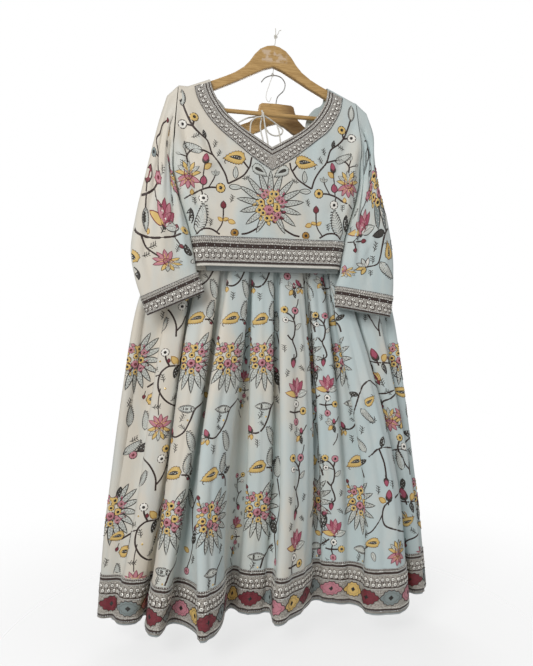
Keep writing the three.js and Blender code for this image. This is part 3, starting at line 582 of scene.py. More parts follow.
def sleeve_point(name, turn, row):
    """A sleeve's base surface: turn runs once round from the outer edge, row up from the cuff."""
    side, table = SLEEVES[name]
    columns = np.array(table, float).T
    places = np.arange(len(table)) + 1
    at = len(table) - row
    angle = 2 * np.pi * turn
    share = (1 - np.cos(angle)) / 2
    away = np.where(side * np.sin(angle) < 0, -1, 1)
    tip_drop = shoulder_drop(CENTRE + side * TIP) + 0.3
    arm_drop = tip_drop + (UNDERARM - UNDERARM_GAP - tip_drop) * share
    arm_half = reading(arm_drop, SIDE_DROP, SIDE_HALF)
    arm_x = CENTRE + side * (arm_half + ARMHOLE_GAP + (UNDERARM_GAP - ARMHOLE_GAP) * share)
    near = arm_x - side * UNDERARM_GAP
    arm_y = away * np.where(away < 0, panel_depth(FRONT_DEPTH, near, arm_drop + 1),
                            panel_depth(BACK_DEPTH, near, arm_drop + 1))
    armhole = np.stack([arm_x, arm_y, -arm_drop], -1)
    out, out_drop, _, in_drop, y, depth, reach = (reading(np.maximum(at, 1), places, c) for c in columns)
    inner_x = CENTRE + side * (reading(columns[3], SIDE_DROP, SIDE_HALF) + columns[2])
    inner = np.stack([reading(np.maximum(at, 1), places, inner_x), y, -in_drop], -1)
    outer = np.stack([out, y, -out_drop], -1)
    length = np.linalg.norm(outer - inner, axis=-1)
    section = outer + (inner - outer) * share[..., None]
    soft = fold_height(share, row, SLEEVE_FOLDS[name]) * np.where(away < 0, 1.5, -1.2)
    puff = opened(share * length, reach) * opened((1 - share) * length, reach)
    section[..., 1] += away * (depth + soft) * puff
    blend = np.clip(at, 0, 1)[..., None]
    return np.where(at[..., None] >= 1, section, armhole + (section - armhole) * blend), share, length


for side_name in SLEEVES:
    turn, row = np.meshgrid(np.linspace(0, 1, 97), finer([0, 0.5, 1, 2, 3, 4, 5, 6, 7, 7.6, 8, 8.5, 8.9], 10))
    grid, share, length = sleeve_point(side_name, turn, row)
    flat = np.stack([(share - 0.5) * length, row * ROW_LENGTH], -1)
    body = wall("sleeve_" + side_name + "_cloth", grid, flat, georgette, loop=True)
    put_on(body, "sleeve_" + side_name)

# ---- Skirt ----
# The skirt is a long circle of pleated georgette on a straight waistband. The pleats open towards
# the hem, each with a face, a fold under its leading edge and a valley to the next.
WAIST, HIP, KNEE, HEM, SKIRT_TOP, SKIRT_BORDER = 340, 590, 990, 1273, 340.6, 88
CORNERS = 70  # of the plan, half of them in front
FORM = list(zip(*[(340, 190, 20.5, 32, 43, 0.05, 0.3), (590, 281, 34, 38, 52, 0.15, 0.45),
                  (750, 309, 30, 40, 58, 0.37, 0.6), (990, 345, 23, 41, 64, 0.76, 0.8),
                  (1100, 361, 21, 40, 66, 0.96, 0.9), (1300, 380, 19, 36, 70, 1.3, 1)]))
# Pleats as in the pattern: X at waist, hip, knee and hem, face, hem face, lead, trail, under, tuck,
# valley and rest
PLEATS = [
    (-160, -226, -287, -340, 34, 44, 34, 34, -8, 2, 0.5, 0), (-128, -177, -239, -289, 46, 28, 72, 99, 16, 4, 0.32, 20),
    (-84, -111, -182, -193, 48, 50, 130, 97, 13, 88, 0.7, 0), (-38, -44, -57, -82, 42, 38, 30, 37, -9, 6, 0.5, 30),
    (6, 13, -5, -38, 60, 112, 114, 18, 22, 40, 0.5, 0), (56, 91, 112, 113, 32, 36, 13, 28, -7, 3, 0.4, 26),
    (94, 141, 190, 171, 36, 108, 81, 88, 15, 46, 0.7, 0), (136, 198, 290, 331, 46, 24, 12, 10, -7, 3, 0.6, 0),
]
# Smaller soft folds: a corner along the plan, the drops of its ends, width in corners and height
SKIRT_FOLDS = [
    (2.6, 380, 900, 0.25, 2.5), (4.2, 420, 1273, 0.16, -2.6), (6.3, 380, 1000, 0.2, 2.6),
    (7.6, 600, 1273, 0.14, -3.0), (9.4, 380, 1100, 0.2, 3.0), (11.5, 700, 1273, 0.15, -3.4),
    (13.2, 380, 1273, 0.2, 2.4), (15.4, 500, 1273, 0.12, 3.0), (17.5, 380, 1273, 0.2, -2.6),
    (19.4, 700, 1273, 0.12, -4.0), (19.75, 560, 1273, 0.1, 3.6), (21.6, 380, 1000, 0.2, 2.6),
    (23.5, 500, 1273, 0.16, -3.0), (25.4, 380, 900, 0.2, 3.0), (27.4, 640, 1273, 0.12, -4.0),
    (27.75, 620, 1273, 0.1, 3.6), (29.5, 380, 1273, 0.2, -2.6), (31.5, 420, 1100, 0.18, 3.0),
    (33.2, 600, 1273, 0.2, -2.6), (37.4, 380, 1100, 0.2, 2.6), (40.2, 420, 1273, 0.15, -3.0),
    (43.6, 500, 1273, 0.15, 3.2), (46.4, 380, 1273, 0.2, -2.8), (49.5, 600, 1273, 0.15, 3.4),
    (52.4, 380, 1100, 0.2, -2.6), (55.6, 500, 1273, 0.15, 3.4), (58.4, 420, 1273, 0.18, -3.0),
    (61.5, 600, 1273, 0.15, 3.0), (65.4, 380, 1200, 0.2, -2.6), (67.6, 500, 1273, 0.2, 2.4),
]
# How far the pleat faces stand forward of the plain form, and the folds behind it, as drops and depths
PLEAT_DEPTH = (340, 540, 610, 720, 900, 1100, 1273), (1, 5, 10, 13, 11, 6, 2)


def skirt_corners(drop):
    """The plan of the skirt at a drop, as the corners of its folds."""
    half, front, side, back, swell, open_ = (float(reading(drop, FORM[0], column)) for column in FORM[1:])
    turn = 0.05 * swell
    fold, lean = 21 * open_, turn * half * 0.5
    level = min(drop, HEM)
    edges = [float(reading(level, (WAIST, HIP, KNEE, HEM), pleat[:4])) for pleat in PLEATS]
    low, high = [], []
    for i, (pleat, edge) in enumerate(zip(PLEATS, edges)):
        hip_face, hem_face, lead, trail, under, tuck, valley, rest = pleat[4:]
        face = hip_face + (hem_face - hip_face) * (level - HIP) / (HEM - HIP) if level >= HIP else \
            hip_face * (0.72 + 0.28 * (level - WAIST) / (HIP - WAIST))
        next_fold = edges[i + 1] + PLEATS[i + 1][8] * open_ if i < 7 else half - fold
        end = edge + face
        for x, reach in ((edge + under * open_, tuck), (edge, lead), (end, trail),
                         (end + (next_fold - end) * valley, rest)):
            low.append((x, front - turn * x - reach * swell))
            high.append((-x, back + turn * x + reach * swell * 0.62))
    tip = fold * 0.3
    return np.array([(-half, side + lean), (-half + tip, side + lean - fold), *low, (half - tip, side - lean - fold),
                     (half, side - lean), (half - tip, side - lean + fold), *high, (-half + tip, side + lean + fold)])


def eased(plan, corner):
    """The smooth closed line about a plan's corners, at each corner value."""
    whole = np.floor(corner).astype(int)
    t = corner - whole
    weights = [(1 - t) ** 3, 3 * t ** 3 - 6 * t ** 2 + 4, 3 * (t - t ** 3 + t ** 2) + 1, t ** 3]
    return sum(w[:, None] / 6 * plan[..., (whole + i - 1) % CORNERS, :] for i, w in enumerate(weights))


def skirt_point(corner, drops):
    """Points of the skirt's base surface: a row for each drop, a column for each corner value."""
    plan = eased(np.array([skirt_corners(drop) for drop in drops]), corner)
    grid = np.concatenate([plan, np.broadcast_to(-np.array(drops, float)[:, None, None], (*plan.shape[:2], 1))], -1)
    away = facing_of(grid)
    soft = np.zeros(grid.shape[:2])
    for at, first, last, width, high in SKIRT_FOLDS:
        down = np.array(drops)[:, None]
        soft += high * np.exp(-((corner[None] - at) / width) ** 2) * smooth((down - first) / 120) \
            * smooth((last + 60 - down) / 120 if last < HEM else down * 0 + 1)
    crisp = np.tanh(3.2 * np.cos(np.pi / 2 * (corner[None] % (CORNERS // 2) - 3.5)))
    soft += crisp * np.interp(np.array(drops), *PLEAT_DEPTH)[:, None]
    return grid + away * soft[..., None]


def fold_columns(start, end, count):
    """Corner values from start to end, closer where the hem bends."""
    fine = np.linspace(start, end, 1201)
    steps = np.diff(eased(skirt_corners(HEM), fine), axis=0)
    heading = np.unwrap(np.arctan2(steps[:, 1], steps[:, 0]))
    bend = np.abs(np.diff(heading, prepend=heading[0]))
    sums = np.concatenate([[0], np.cumsum(np.linalg.norm(steps, axis=1) / 40 + bend / 0.9)])
    return np.interp(np.linspace(0, sums[-1], count + 1), sums, fine)


def along_rows(grid):
    """How far along its row each point of a grid lies."""
    step = np.linalg.norm(np.diff(grid, axis=1), axis=-1)
    return np.concatenate([np.zeros((len(grid), 1)), np.cumsum(step, 1)], 1)


skirt_drops = finer([HEM, HEM - SKIRT_BORDER, 1060, 930, 800, 690, HIP, 480, SKIRT_TOP], 7)
skirt_sides = {"front": fold_columns(-0.01, 35.01, 396), "back": fold_columns(35, 70, 396)}
skirt_grids = {}
for side_name, columns in skirt_sides.items():
    grid = skirt_point(columns, skirt_drops)
    across = along_rows(grid)
    flat = np.stack([across, np.broadcast_to(skirt_drops[:, None], across.shape)], -1)
    skirt_grids[side_name] = (grid, across)
    body = wall("skirt_" + side_name + "_cloth", grid, flat, georgette)
    put_on(body, "skirt_" + side_name)

# ---- Blouse borders, facing and piping ----
# Woven zari borders are sewn along the V neck, the hem and the cuffs. The back hem is faced inside
# with grey-blue satin, and an off-white piping finishes the front hem.
def woven_border(name, dark, pale, low, wander, lines):
    """A speckled zari ground with brown lines, each as its middle and half width across the border."""
    made, nodes, shader = new_finish(name, Sheen_Weight=0.06)
    run = nodes.cloth()
    speckle = run.stretched(420, 420, 1).noise(1.0, 3)
    ground = speckle.rise(low, 0.66).tint(paint(dark), paint(pale))
    band = nodes.node("Attribute", {"attribute_name": "band"}, {}, out=2) + (speckle - 0.5) * wander
    brown = band.stripe(*lines[0])
    for line in lines[1:]:
        brown = brown + band.stripe(*line)
    (brown * 0.95).tint(ground, paint("2e150c")).into(shader, "Base Color")
    (0.5 + 0.25 * speckle).into(shader, "Roughness")
    nodes.relief(run.maths("SINE", run.part("Y") * 5200) * 0.4 + speckle, 0.0004).into(shader, "Normal")
    return made


zari = woven_border("zari_border", "8d857b", "dfdbd4", 0.38, 0.04, [(0.66, 0.09), (0.05, 0.035), (0.98, 0.02)])

plain, plain_nodes, plain_shader = new_finish("facing_satin", Sheen_Weight=0.2)
plain_run = plain_nodes.cloth()
crinkle = plain_run.stretched(60, 240, 1).noise(1.0, 3)
crinkle.tint(paint("a6b0b1"), paint("c6cdcc")).into(plain_shader, "Base Color")
(0.38 + 0.2 * crinkle).into(plain_shader, "Roughness")
plain_nodes.relief(crinkle, 0.0006).into(plain_shader, "Normal")


def band_of(piece, share):
    """Writes on a border how far across it each point is, from 0 to 1."""
    field = piece.data.attributes.new("band", "FLOAT", "POINT")
    field.data.foreach_set("value", np.tile(np.asarray(share, np.float32).ravel(), 2))
    return piece


def sewn_on(piece, node, on="blouse_front"):
    put_on(piece, node)


BORDER_LIFT, BORDER_THICK = 2.0, 0.8
for side_name, front, neck, hem in PANELS:
    rows = np.linspace(0, HEM_BORDER / (hem - YOKE), 19)
    u, v = np.meshgrid(panel_columns if front else panel_columns[::-1], rows)
    x, drop = panel_place(u, v, neck, hem)
    strip = wall("hem_band_" + side_name, panel_point(front, x, drop), np.stack([x, drop], -1), zari,
                 BORDER_LIFT, BORDER_THICK)
    sewn_on(band_of(strip, v / rows[-1]), "blouse_hem_border_" + side_name,
            "blouse_" + side_name)

turns, across = np.meshgrid(np.linspace(-1, 1, 337), np.linspace(0, 1, 17))
seven = np.linspace(0, 1, 7)
(edge_out, edge_drop), (neck_out, neck_drop) = (
    [reading(np.abs(turns), seven, column) for column in table] for table in (FRONT_EDGE, FRONT_NECK))
x = CENTRE + np.sign(turns) * (edge_out + (neck_out - edge_out) * across)
drop = np.maximum(edge_drop + (neck_drop - edge_drop) * across, shoulder_drop(x) + 9)
neck_band = wall("neck_band", panel_point(True, x, drop), np.stack([turns * 260, across * 50], -1), zari,
                 BORDER_LIFT + 0.3, BORDER_THICK)
lines = np.interp(across, (0, 0.05, 0.07, 0.66, 0.68, 0.73, 0.75, 0.85, 0.87, 0.91, 0.93, 1),
                  (0.05, 0.05, 0.12, 0.5, 0.66, 0.66, 0.85, 0.85, 0.66, 0.66, 0.85, 0.9))
sewn_on(band_of(neck_band, lines), "neck_border")

u, v = np.meshgrid(panel_columns, [FRONT_HEM + below for below in (0.6, 2, 4, 5.6)])
x = CENTRE + u * reading(FRONT_HEM, SIDE_DROP, SIDE_HALF)
piping = wall("hem_piping", panel_point(True, x, v)[::-1], np.stack([x, v], -1)[::-1], cotton, 0.2, 2.6)
sewn_on(piping, "blouse_hem_piping")

u, v = np.meshgrid(panel_columns[14:-14], np.linspace(0, HEM_BORDER / (BACK_HEM - YOKE), 9))
x, drop = panel_place(u[:, ::-1], v, BACK_NECK, BACK_HEM)
inside = wall("back_facing", panel_point(False, x, drop), np.stack([x, drop], -1), plain, -1.3, 1)
sewn_on(inside, "back_hem_facing", "blouse_back")

for side_name in SLEEVES:
    turn, row = np.meshgrid(np.linspace(0, 1, 97), np.linspace(0, 1, 15))
    grid, share, length = sleeve_point(side_name, turn, row)
    flat = np.stack([(share - 0.5) * length, row * ROW_LENGTH], -1)
    strip = wall("cuff_band_" + side_name, grid, flat, zari, BORDER_LIFT, BORDER_THICK, loop=True)
    sewn_on(band_of(strip, row[:, :-1]), "cuff_border_" + side_name, "sleeve_" + side_name)

# ---- Skirt border, lining and waistband ----
# The skirt's hem carries a broad woven border, with the lining just below it. The waistband is a
# stiffened straight band, hung by its tapes from the lower hanger's arms.
band_finish = woven_border("hem_border", "8d857a", "d6d1c8", 0.36, 0.02,
                           [(0.9, 0.026), (0.05, 0.03), (0.56, 0.012), (0.98, 0.02)])

for side_name, columns in skirt_sides.items():
    drops = np.linspace(HEM + 1.5, HEM - SKIRT_BORDER, 15)
    grid = skirt_point(columns, drops)
    across = along_rows(grid)
    down = np.broadcast_to(drops[:, None], across.shape)
    flat = np.stack([across, down], -1)
    strip = wall("skirt_band_" + side_name, grid, flat, band_finish, BORDER_LIFT, BORDER_THICK)
    sewn_on(band_of(strip, (HEM - down) / SKIRT_BORDER), "skirt_hem_border_" + side_name,
            "skirt_" + side_name)

drops = np.array([HEM + 6, HEM + 3, HEM, *np.linspace(HEM, HEM - SKIRT_BORDER, 6)[1:]])
grid = skirt_point(skirt_sides["front"][18:-18], drops)
flat = np.stack(np.broadcast_arrays(grid[..., 0], drops[:, None]), -1)
lining = wall("skirt_lining", grid, flat, plain, -1.3, 1)
sewn_on(lining, "skirt_lining_front", "skirt_front")

turn, drop = np.meshgrid(np.linspace(0, 1, 129) - 0.5 + 1 / 128, np.linspace(340, 300, 9))
bent = [np.sign(wave) * np.sqrt(np.abs(wave)) for wave in (np.cos(2 * np.pi * turn), np.sin(2 * np.pi * turn))]
grid = np.stack([188 * bent[0], 32 + 15.5 * bent[1], -drop], -1)
waistband = wall("waistband", grid, np.stack([turn * 760, drop], -1), georgette, 0.2, 1.6, loop=True)
sewn_on(waistband, "skirt_waistband", "lower_hanger_body")

# ---- Embroidery threads and beads ----
# The vines are chain stitch, the leaves and petals satin stitch with a corded outline, and the
# centres and border scrolls are glass beads and sequins. Each motif is drawn once, flat, and laid on
# the cloth, its points as place across, place down, height and anchor.
THREADS = {name: paint(code)[:3] for name, code in {
    "brown": "2c140d", "black": "181210", "gold": "e2bf72", "ochre": "a87a2c", "pink": "c98490", "rose": "ad4f68",
    "maroon": "7a2431", "sky": "cfd2cb", "slate": "37332d", "white": "f6f3ea", "silver": "dde0de", "dusk": "869190",
}.items()}
sewing, sewing_nodes, sewing_shader = new_finish("embroidery", Sheen_Weight=0.05, Coat_Roughness=0.12)
stitch = sewing_nodes.node("Attribute", {"attribute_name": "stitch"}, {})
gloss = sewing_nodes.node("Attribute", {"attribute_name": "stitch"}, {}, out=3)
fibre_lie_and_glint = sewing_nodes.place().noise(900, 2)
# Painted highlight: where the fibre noise is high, the thread colour is lifted up to 7% towards pale e9dfcd. The same
# noise also gives the fibres' bump.
(fibre_lie_and_glint.rise(0.4, 0.8) * 0.07).tint(stitch, paint("e9dfcd")).into(sewing_shader, "Base Color")
(0.55 - 0.4 * gloss).into(sewing_shader, "Roughness")
(0.35 * gloss).into(sewing_shader, "Metallic")
gloss.into(sewing_shader, "Coat Weight")
sewing_nodes.relief(fibre_lie_and_glint, 0.0003, 0.6).into(sewing_shader, "Normal")


def turned(points, x, y, turn):
    """Points across and along a direction, which is turn degrees clockwise from straight up."""
    angle = math.radians(turn)
    return (x, y) + np.asarray(points) @ np.array([(math.cos(angle), math.sin(angle)),
                                                   (math.sin(angle), -math.cos(angle))])


class Motif:
    def __init__(self):
        self.points, self.colours, self.faces, self.count = [], [], [], 0

    def add(self, points, colours, faces):
        self.points.append(points)
        self.colours.append(colours)
        self.faces.append(np.asarray(faces) + self.count)
        self.count += len(points)
        return self

    def strip(self, lines, heights, colour, gloss=0.0):
        """Bands between neighbouring lines, each line at its own height."""
        lines = np.array(lines, float)
        many, long = lines.shape[:2]
        points = np.zeros((many * long, 4))
        points[:, :2] = lines.reshape(-1, 2)
        points[:, 2] = np.repeat(heights, long)
        number = np.arange(many * long).reshape(many, long)
        a, b, c, d = number[:-1, :-1], number[1:, :-1], number[1:, 1:], number[:-1, 1:]
        faces = np.concatenate([np.stack([a, b, c], -1), np.stack([a, c, d], -1)]).reshape(-1, 3)
        return self.add(points, np.tile((*THREADS[colour], gloss), (len(points), 1)), faces)

    def line(self, route, wide=4.0, colour="brown", steps=4, high=1.0):
        """A sewn line through the points of a route."""
        route = np.array(route, float)
        if steps > 1:
            ends = np.concatenate([2 * route[:1] - route[1:2], route, 2 * route[-1:] - route[-2:-1]])
            t = np.arange(steps)[:, None] / steps
            path = [p1 + t / 2 * (p2 - p0 + t * (2 * p0 - 5 * p1 + 4 * p2 - p3 + t * (3 * (p1 - p2) + p3 - p0)))
                    for p0, p1, p2, p3 in zip(ends, ends[1:], ends[2:], ends[3:])]
            route = np.concatenate([*path, route[-1:]])
        side = np.gradient(route, axis=0)[:, ::-1] * (-1, 1)
        side *= wide / 2 / np.maximum(np.linalg.norm(side, axis=1), 1e-6)[:, None]
        return self.strip([route - side, route, route + side], (0, high, 0), colour)

    def disc(self, x, y, radius, colour, high=0.8, sides=6, gloss=0.0, inner=0.0, scallop=0.0):
        """A low dome, or a ring where inner is the share of the radius left open."""
        turn = np.linspace(0, 2 * np.pi, sides + 1)
        way = np.stack([np.cos(turn), np.sin(turn)], -1)
        rim = radius * (1 + scallop * (-1) ** np.arange(sides + 1))[:, None] * way
        return self.strip([(x, y) + rim, (x, y) + way * radius * (1 + inner) / 2, (x, y) + way * radius * inner],
                          (0.1, high, high * (1.1 if inner == 0 else 0.6)), colour, gloss)

    def petal(self, x, y, turn, length, wide, fill="sky", edge="brown", bend=0.0, belly=0.8, thread=2.1, dots=""):
        """A leaf or petal from its base at x and y, with a corded edge and a row of dots."""
        t = np.linspace(0, 1, 5 if length < 13 else 8)
        half = wide / 2 * np.sin(np.pi * t ** belly) ** 0.75
        spine = np.stack([bend * t * t, length * t], -1)
        reach = np.stack([half, 0 * half], -1)
        left, middle, right = (turned(path, x, y, turn) for path in (spine - reach, spine, spine + reach))
        if fill:
            self.strip([left, middle, right], (0.3, 0.9, 0.3), fill)
        if edge:
            self.line(np.concatenate([left, right[-2::-1]]), thread, edge, steps=1, high=1.1)
        if dots:
            self.line(turned(spine[1:-1], x, y, turn), 1.5, "slate", steps=1, high=1.2)
        for i, at in enumerate(np.linspace(0.24, 0.8, max(3, int(length / 5))) if dots else ()):
            dot = turned([(bend * at * at + (i % 2 - 0.5) * wide * 0.36, length * at)], x, y, turn)[0]
            self.disc(*dot, 1.3, dots, 1.4, sides=4, gloss=0.3)
        return self

    def rosette(self, x, y, radius, colour, heart="black"):
        self.disc(x, y, radius * 1.16, "brown", 0.5, sides=10)
        self.disc(x, y, radius, colour, 1.5, sides=16, inner=0.4, scallop=0.08)
        return self.disc(x, y, radius * 0.42, heart, 1.6, sides=6, gloss=0.7)

    def bead(self, x, y, radius=1.3, colour="silver", high=1.1):
        return self.disc(x, y, radius, colour, high, sides=4, gloss=1.0)

    def stamp(self, other, x, y, turn=0.0, size=1.0, flip=1, anchor=0.0):
        """Lays another motif here, turned, sized or mirrored."""
        for points, colours, faces in other.parts():
            moved = points.copy()
            angle = math.radians(turn)
            spin = np.array([(math.cos(angle), math.sin(angle)), (-math.sin(angle), math.cos(angle))])
            moved[:, :2] = (x, y) + (points[:, :2] * (flip, 1) * size) @ spin
            moved[:, 3] = anchor
            self.add(moved, colours, faces)
        return self

    def scatter(self, other, places, size=1.0):
        """Lays a motif at several places, as X, Y and turn."""
        for x, y, turn in places:
            self.stamp(other, x, y, turn, size)
        return self

    def parts(self):
        if self.points:
            yield np.concatenate(self.points), np.concatenate(self.colours), np.concatenate(self.faces)


def sew(name, motif, surface, lift, keep):
    """Makes the mesh of a motif on a surface, without the stitches that fall outside it."""
    (points, colours, faces), = motif.parts()
    x, y, high, anchor = points.T
    inside = keep(x, y, anchor)
    faces = faces[inside[faces].all(1)]
    used, faces = np.unique(faces, return_inverse=True)
    faces = faces.reshape(-1, 3)
    x, y, high, anchor, colours = x[used], y[used], high[used], anchor[used], colours[used]
    base = surface(x, y, anchor)
    away = np.cross(surface(x + 1.5, y, anchor) - surface(x - 1.5, y, anchor),
                    surface(x, y - 1.5, anchor) - surface(x, y + 1.5, anchor))
    away /= np.maximum(np.linalg.norm(away, axis=1), 1e-9)[:, None]
    laid = base + away * (lift + high)[:, None]
    a, b, c = laid[faces].transpose(1, 0, 2)
    inward = (np.cross(b - a, c - a) * away[faces[:, 0]]).sum(1) < 0
    faces[inward] = faces[inward][:, ::-1]
    piece = add_mesh(name, laid, faces.tolist(), sewing, np.stack([x, y], -1))
    field = piece.data.attributes.new("stitch", "FLOAT_COLOR", "POINT")
    field.data.foreach_set("color", np.asarray(colours, np.float32).ravel())
    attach(piece, "root")
    return piece


def sheet_at(grid, across, columns):
    """A surface on a grid: place from the anchor column, and drop."""
    drops = -grid[:, 0, 2]

    def surface(x, y, anchor):
        row = np.clip(np.interp(y, drops[::-1], np.arange(len(drops))[::-1]), 0, len(drops) - 1.001)
        found = np.zeros((len(x), 3))
        for r in np.unique(row.astype(int)):
            some = row.astype(int) == r
            share = row[some] - r
            for near, weight in ((r, 1 - share), (r + 1, share)):
                at = np.interp(anchor[some], columns, across[near]) + x[some]
                found[some] += weight[:, None] * np.stack(
                    [np.interp(at, across[near], grid[near, :, k]) for k in range(3)], -1)
        return found
    return surface


# ---- Motifs ----
# Each is drawn once about its own middle, in millimetres: sprays of rosettes with lance leaves,
# scalloped paisleys, tulips, lotuses, buds on twigs and small ferns.
fern = Motif().line([(0, 9), (1, 0), (0, -9)], 1.6, "slate", 2)
for height, side in [(6, 1), (4, -1), (1, 1), (-1, -1), (-4, 1), (-6, -1)]:
    fern.line([(0.5, height), (side * 5, height - 4)], 1.5, "slate", 1)

bud = Motif().petal(0, 0, 0, 15, 9, "rose", "maroon", belly=0.7).petal(-1, 3, -28, 9, 4, "slate", "brown", thread=1)
bud.petal(1, 3, 28, 9, 4, "slate", "brown", thread=1).line([(0, 10), (0, 0)], 2.4, "brown", 1)
small_bud = Motif().petal(0, 0, 0, 10, 7, "maroon", "brown", thread=1.2).line([(0, 8), (0, 0)], 1.8, "brown", 1)
gold_leaf = Motif().petal(0, 0, 0, 12, 7, "gold", "ochre", thread=1.3)
pale_leaf = Motif().petal(0, 0, 0, 20, 9, "sky", "slate", dots="white", thread=1.4)
dark_leaf = Motif().petal(0, 0, 0, 26, 11, "slate", "black", dots="silver")

feather = Motif().petal(0, 0, 0, 46, 17, "sky", "slate", bend=-7, belly=0.75, thread=1.6)
for step in np.linspace(0.16, 0.88, 9):
    spine_x, spine_y = -7 * step * step, -46 * step
    reach = 7.6 * math.sin(math.pi * step ** 0.75) ** 0.75
    for side in (-1, 1):
        feather.line([(spine_x, spine_y), (spine_x + side * reach, spine_y - 5)], 1.3, "black", 1)
        feather.bead(spine_x + side * reach * 0.55, spine_y - 0.5, 1.1, "white")
        feather.disc(spine_x + side * (reach + 1), spine_y - 4, 1.3, "slate", 0.9, sides=5)
feather.line([(0, 0), (-2, -24), (-7, -46)], 1.6, "black", 2)

oval_leaf = Motif().petal(2, 0, -90, 38, 16, "sky", "brown", belly=0.9, thread=1.8)
oval_leaf.petal(-1, 0, -90, 32, 11.5, "slate", "black", belly=0.9, thread=1.4)
for step in np.linspace(0.1, 0.94, 9):
    reach = 8.2 * math.sin(math.pi * step ** 0.9) ** 0.75 - 2
    for side in (-1, 1):
        oval_leaf.disc(2 - 38 * step, side * reach, 1.2, "slate", 1.2, sides=4)
    oval_leaf.disc(2 - 38 * step, 0, 1.2, "white", 1.6, sides=4)

# A paisley about 40 by 24, its round end to the right and its tip turned down at the left
t = np.linspace(0, 1, 17)
swell = 12.5 * np.sin(np.pi * t ** 0.62) ** 0.72
spine = np.stack([20 - 40 * t, 10 * t ** 2.4 - 3], -1)
outline = np.concatenate([spine - np.stack([0 * t, swell], -1), (spine + np.stack([0 * t, swell], -1))[-2::-1]])
middle = np.array((5, -2))
rim = middle + (outline - middle) * (1 + 0.07 * (-1) ** np.arange(33))[:, None]
slim = (outline - middle) * (1, 0.55)
hollow, heart, pip = middle + slim * 0.6, middle + slim * 0.4, middle + slim * 0.02
paisley = Motif()
paisley.strip([rim, middle + (outline - middle) * 0.8, hollow], (0.3, 1.5, 1.1), "gold")
paisley.strip([hollow, heart, pip], (1.1, 1, 1), "slate").line(rim, 1.5, "brown", 1, 0.9)
for step in range(0, 33, 2):
    paisley.line([rim[step], middle + (outline[step] - middle) * 0.66], 1.1, "ochre", 1, 1.8)
for step in (-4, 0, 4, 8, 12):
    paisley.disc(step, -2 + 0.9 * math.sin(step), 1.4, "white", 1.6, sides=5)
paisley.line([(-15, 6), (-17, 12), (-14, 15)], 1.6, "brown", 2)
dark_paisley = Motif()
dark_paisley.strip([rim, middle + (outline - middle) * 0.8, hollow], (0.3, 1.4, 0.9), "sky")
dark_paisley.strip([hollow, heart, pip], (0.9, 1, 1), "slate").line(rim, 1.6, "slate", 1, 1.2)
for step in range(0, 33, 2):
    dark_paisley.line([rim[step], middle + (outline[step] - middle) * 0.7], 1.2, "slate", 1, 1.8)

tulip = Motif()
for turn_, reach, colour in [(-34, 24, "pink"), (-14, 27, "rose"), (4, 28, "pink"), (24, 25, "rose")]:
    tulip.petal(0, 12, turn_, reach, 10, colour, "maroon", bend=turn_ / 12, thread=1.3)
tulip.petal(-1, 15, -58, 22, 11, "gold", "maroon", bend=-6, thread=1.4)
tulip.petal(1, 15, 52, 20, 13, "sky", "slate", bend=6, thread=1.4, dots="white")
tulip.petal(0, 16, -4, 17, 12, "pink", "maroon", thread=1.4).bead(0, 6, 2, "white").disc(0, 16, 3.4, "slate")

lotus = Motif()
for i, spoke in enumerate(np.linspace(-78, 78, 7)):
    lotus.petal(0, 0, spoke, 24 + 3 * math.cos(math.radians(spoke)), 9, ("gold", "sky")[i % 2], "brown", thread=1.3,
                dots=("", "white")[i % 2])
for spoke in (-62, -32, 0, 32, 62):
    lotus.petal(0, 3, 180 + spoke, 27, 9.5, "pink", "maroon", thread=1.6)
    lotus.petal(0, 6, 180 + spoke, 17, 3.4, "gold", "", thread=1)
lotus.line([(-7, -9), (-8, 0), (-5, 8), (0, 11), (5, 8), (8, 0), (7, -9)], 3.4, "maroon", 3, 1.5)
lotus.line([(-3, -6), (-3, 2), (0, 5), (3, 2), (3, -6)], 2.2, "pink", 3, 1.6)

# Rosettes of a spray: place, radius and colour, then the small petals between them
BUNCH = [(-15, -19, 7, "pink"), (2, -23, 7.5, "gold"), (17, -15, 7.5, "pink"), (-3, -7, 6, "gold"),
         (-19, 2, 7, "gold"), (13, 2, 7.5, "gold"), (-2, 10, 8.5, "pink"), (-17, 17, 7, "gold"), (15, 19, 7.5, "pink"),
         (1, 26, 7, "gold")]
bunch = Motif()
for i in range(34):
    angle, reach = i * 2.4, 5 + 4 * math.sqrt(i)
    bunch.petal(reach * math.cos(angle), reach * 1.1 * math.sin(angle), math.degrees(angle) + 60, 9, 7,
                ("gold", "rose", "gold", "pink", "maroon")[i % 5], "brown", thread=1.2)
for x, y, radius, colour in BUNCH:
    bunch.rosette(x, y, radius, colour, "maroon" if colour == "pink" else "black")


def spray(spokes):
    """A bunch of rosettes with lance leaves behind it, as turn and length."""
    made = Motif()
    for spoke, reach in spokes:
        x, y = turned([(0, 16)], 0, 0, spoke)[0]
        made.petal(x, y, spoke, 1.22 * reach, 11.5, "sky", "slate", dots="slate", thread=2.5)
    return made.stamp(bunch, 0, 0)


skirt_spray = spray([(24, 38), (44, 40), (66, 36), (92, 34), (118, 36), (140, 38), (158, 42), (175, 46), (192, 42),
                     (210, 38), (236, 30)])
skirt_spray.line([(-16, -14), (-24, -26), (-28, -38)], 2.6).stamp(small_bud, -28, -38, -15)
skirt_spray.stamp(gold_leaf, -24, -28, -60, 0.8).stamp(pale_leaf, -22, -24, 20, 0.5)

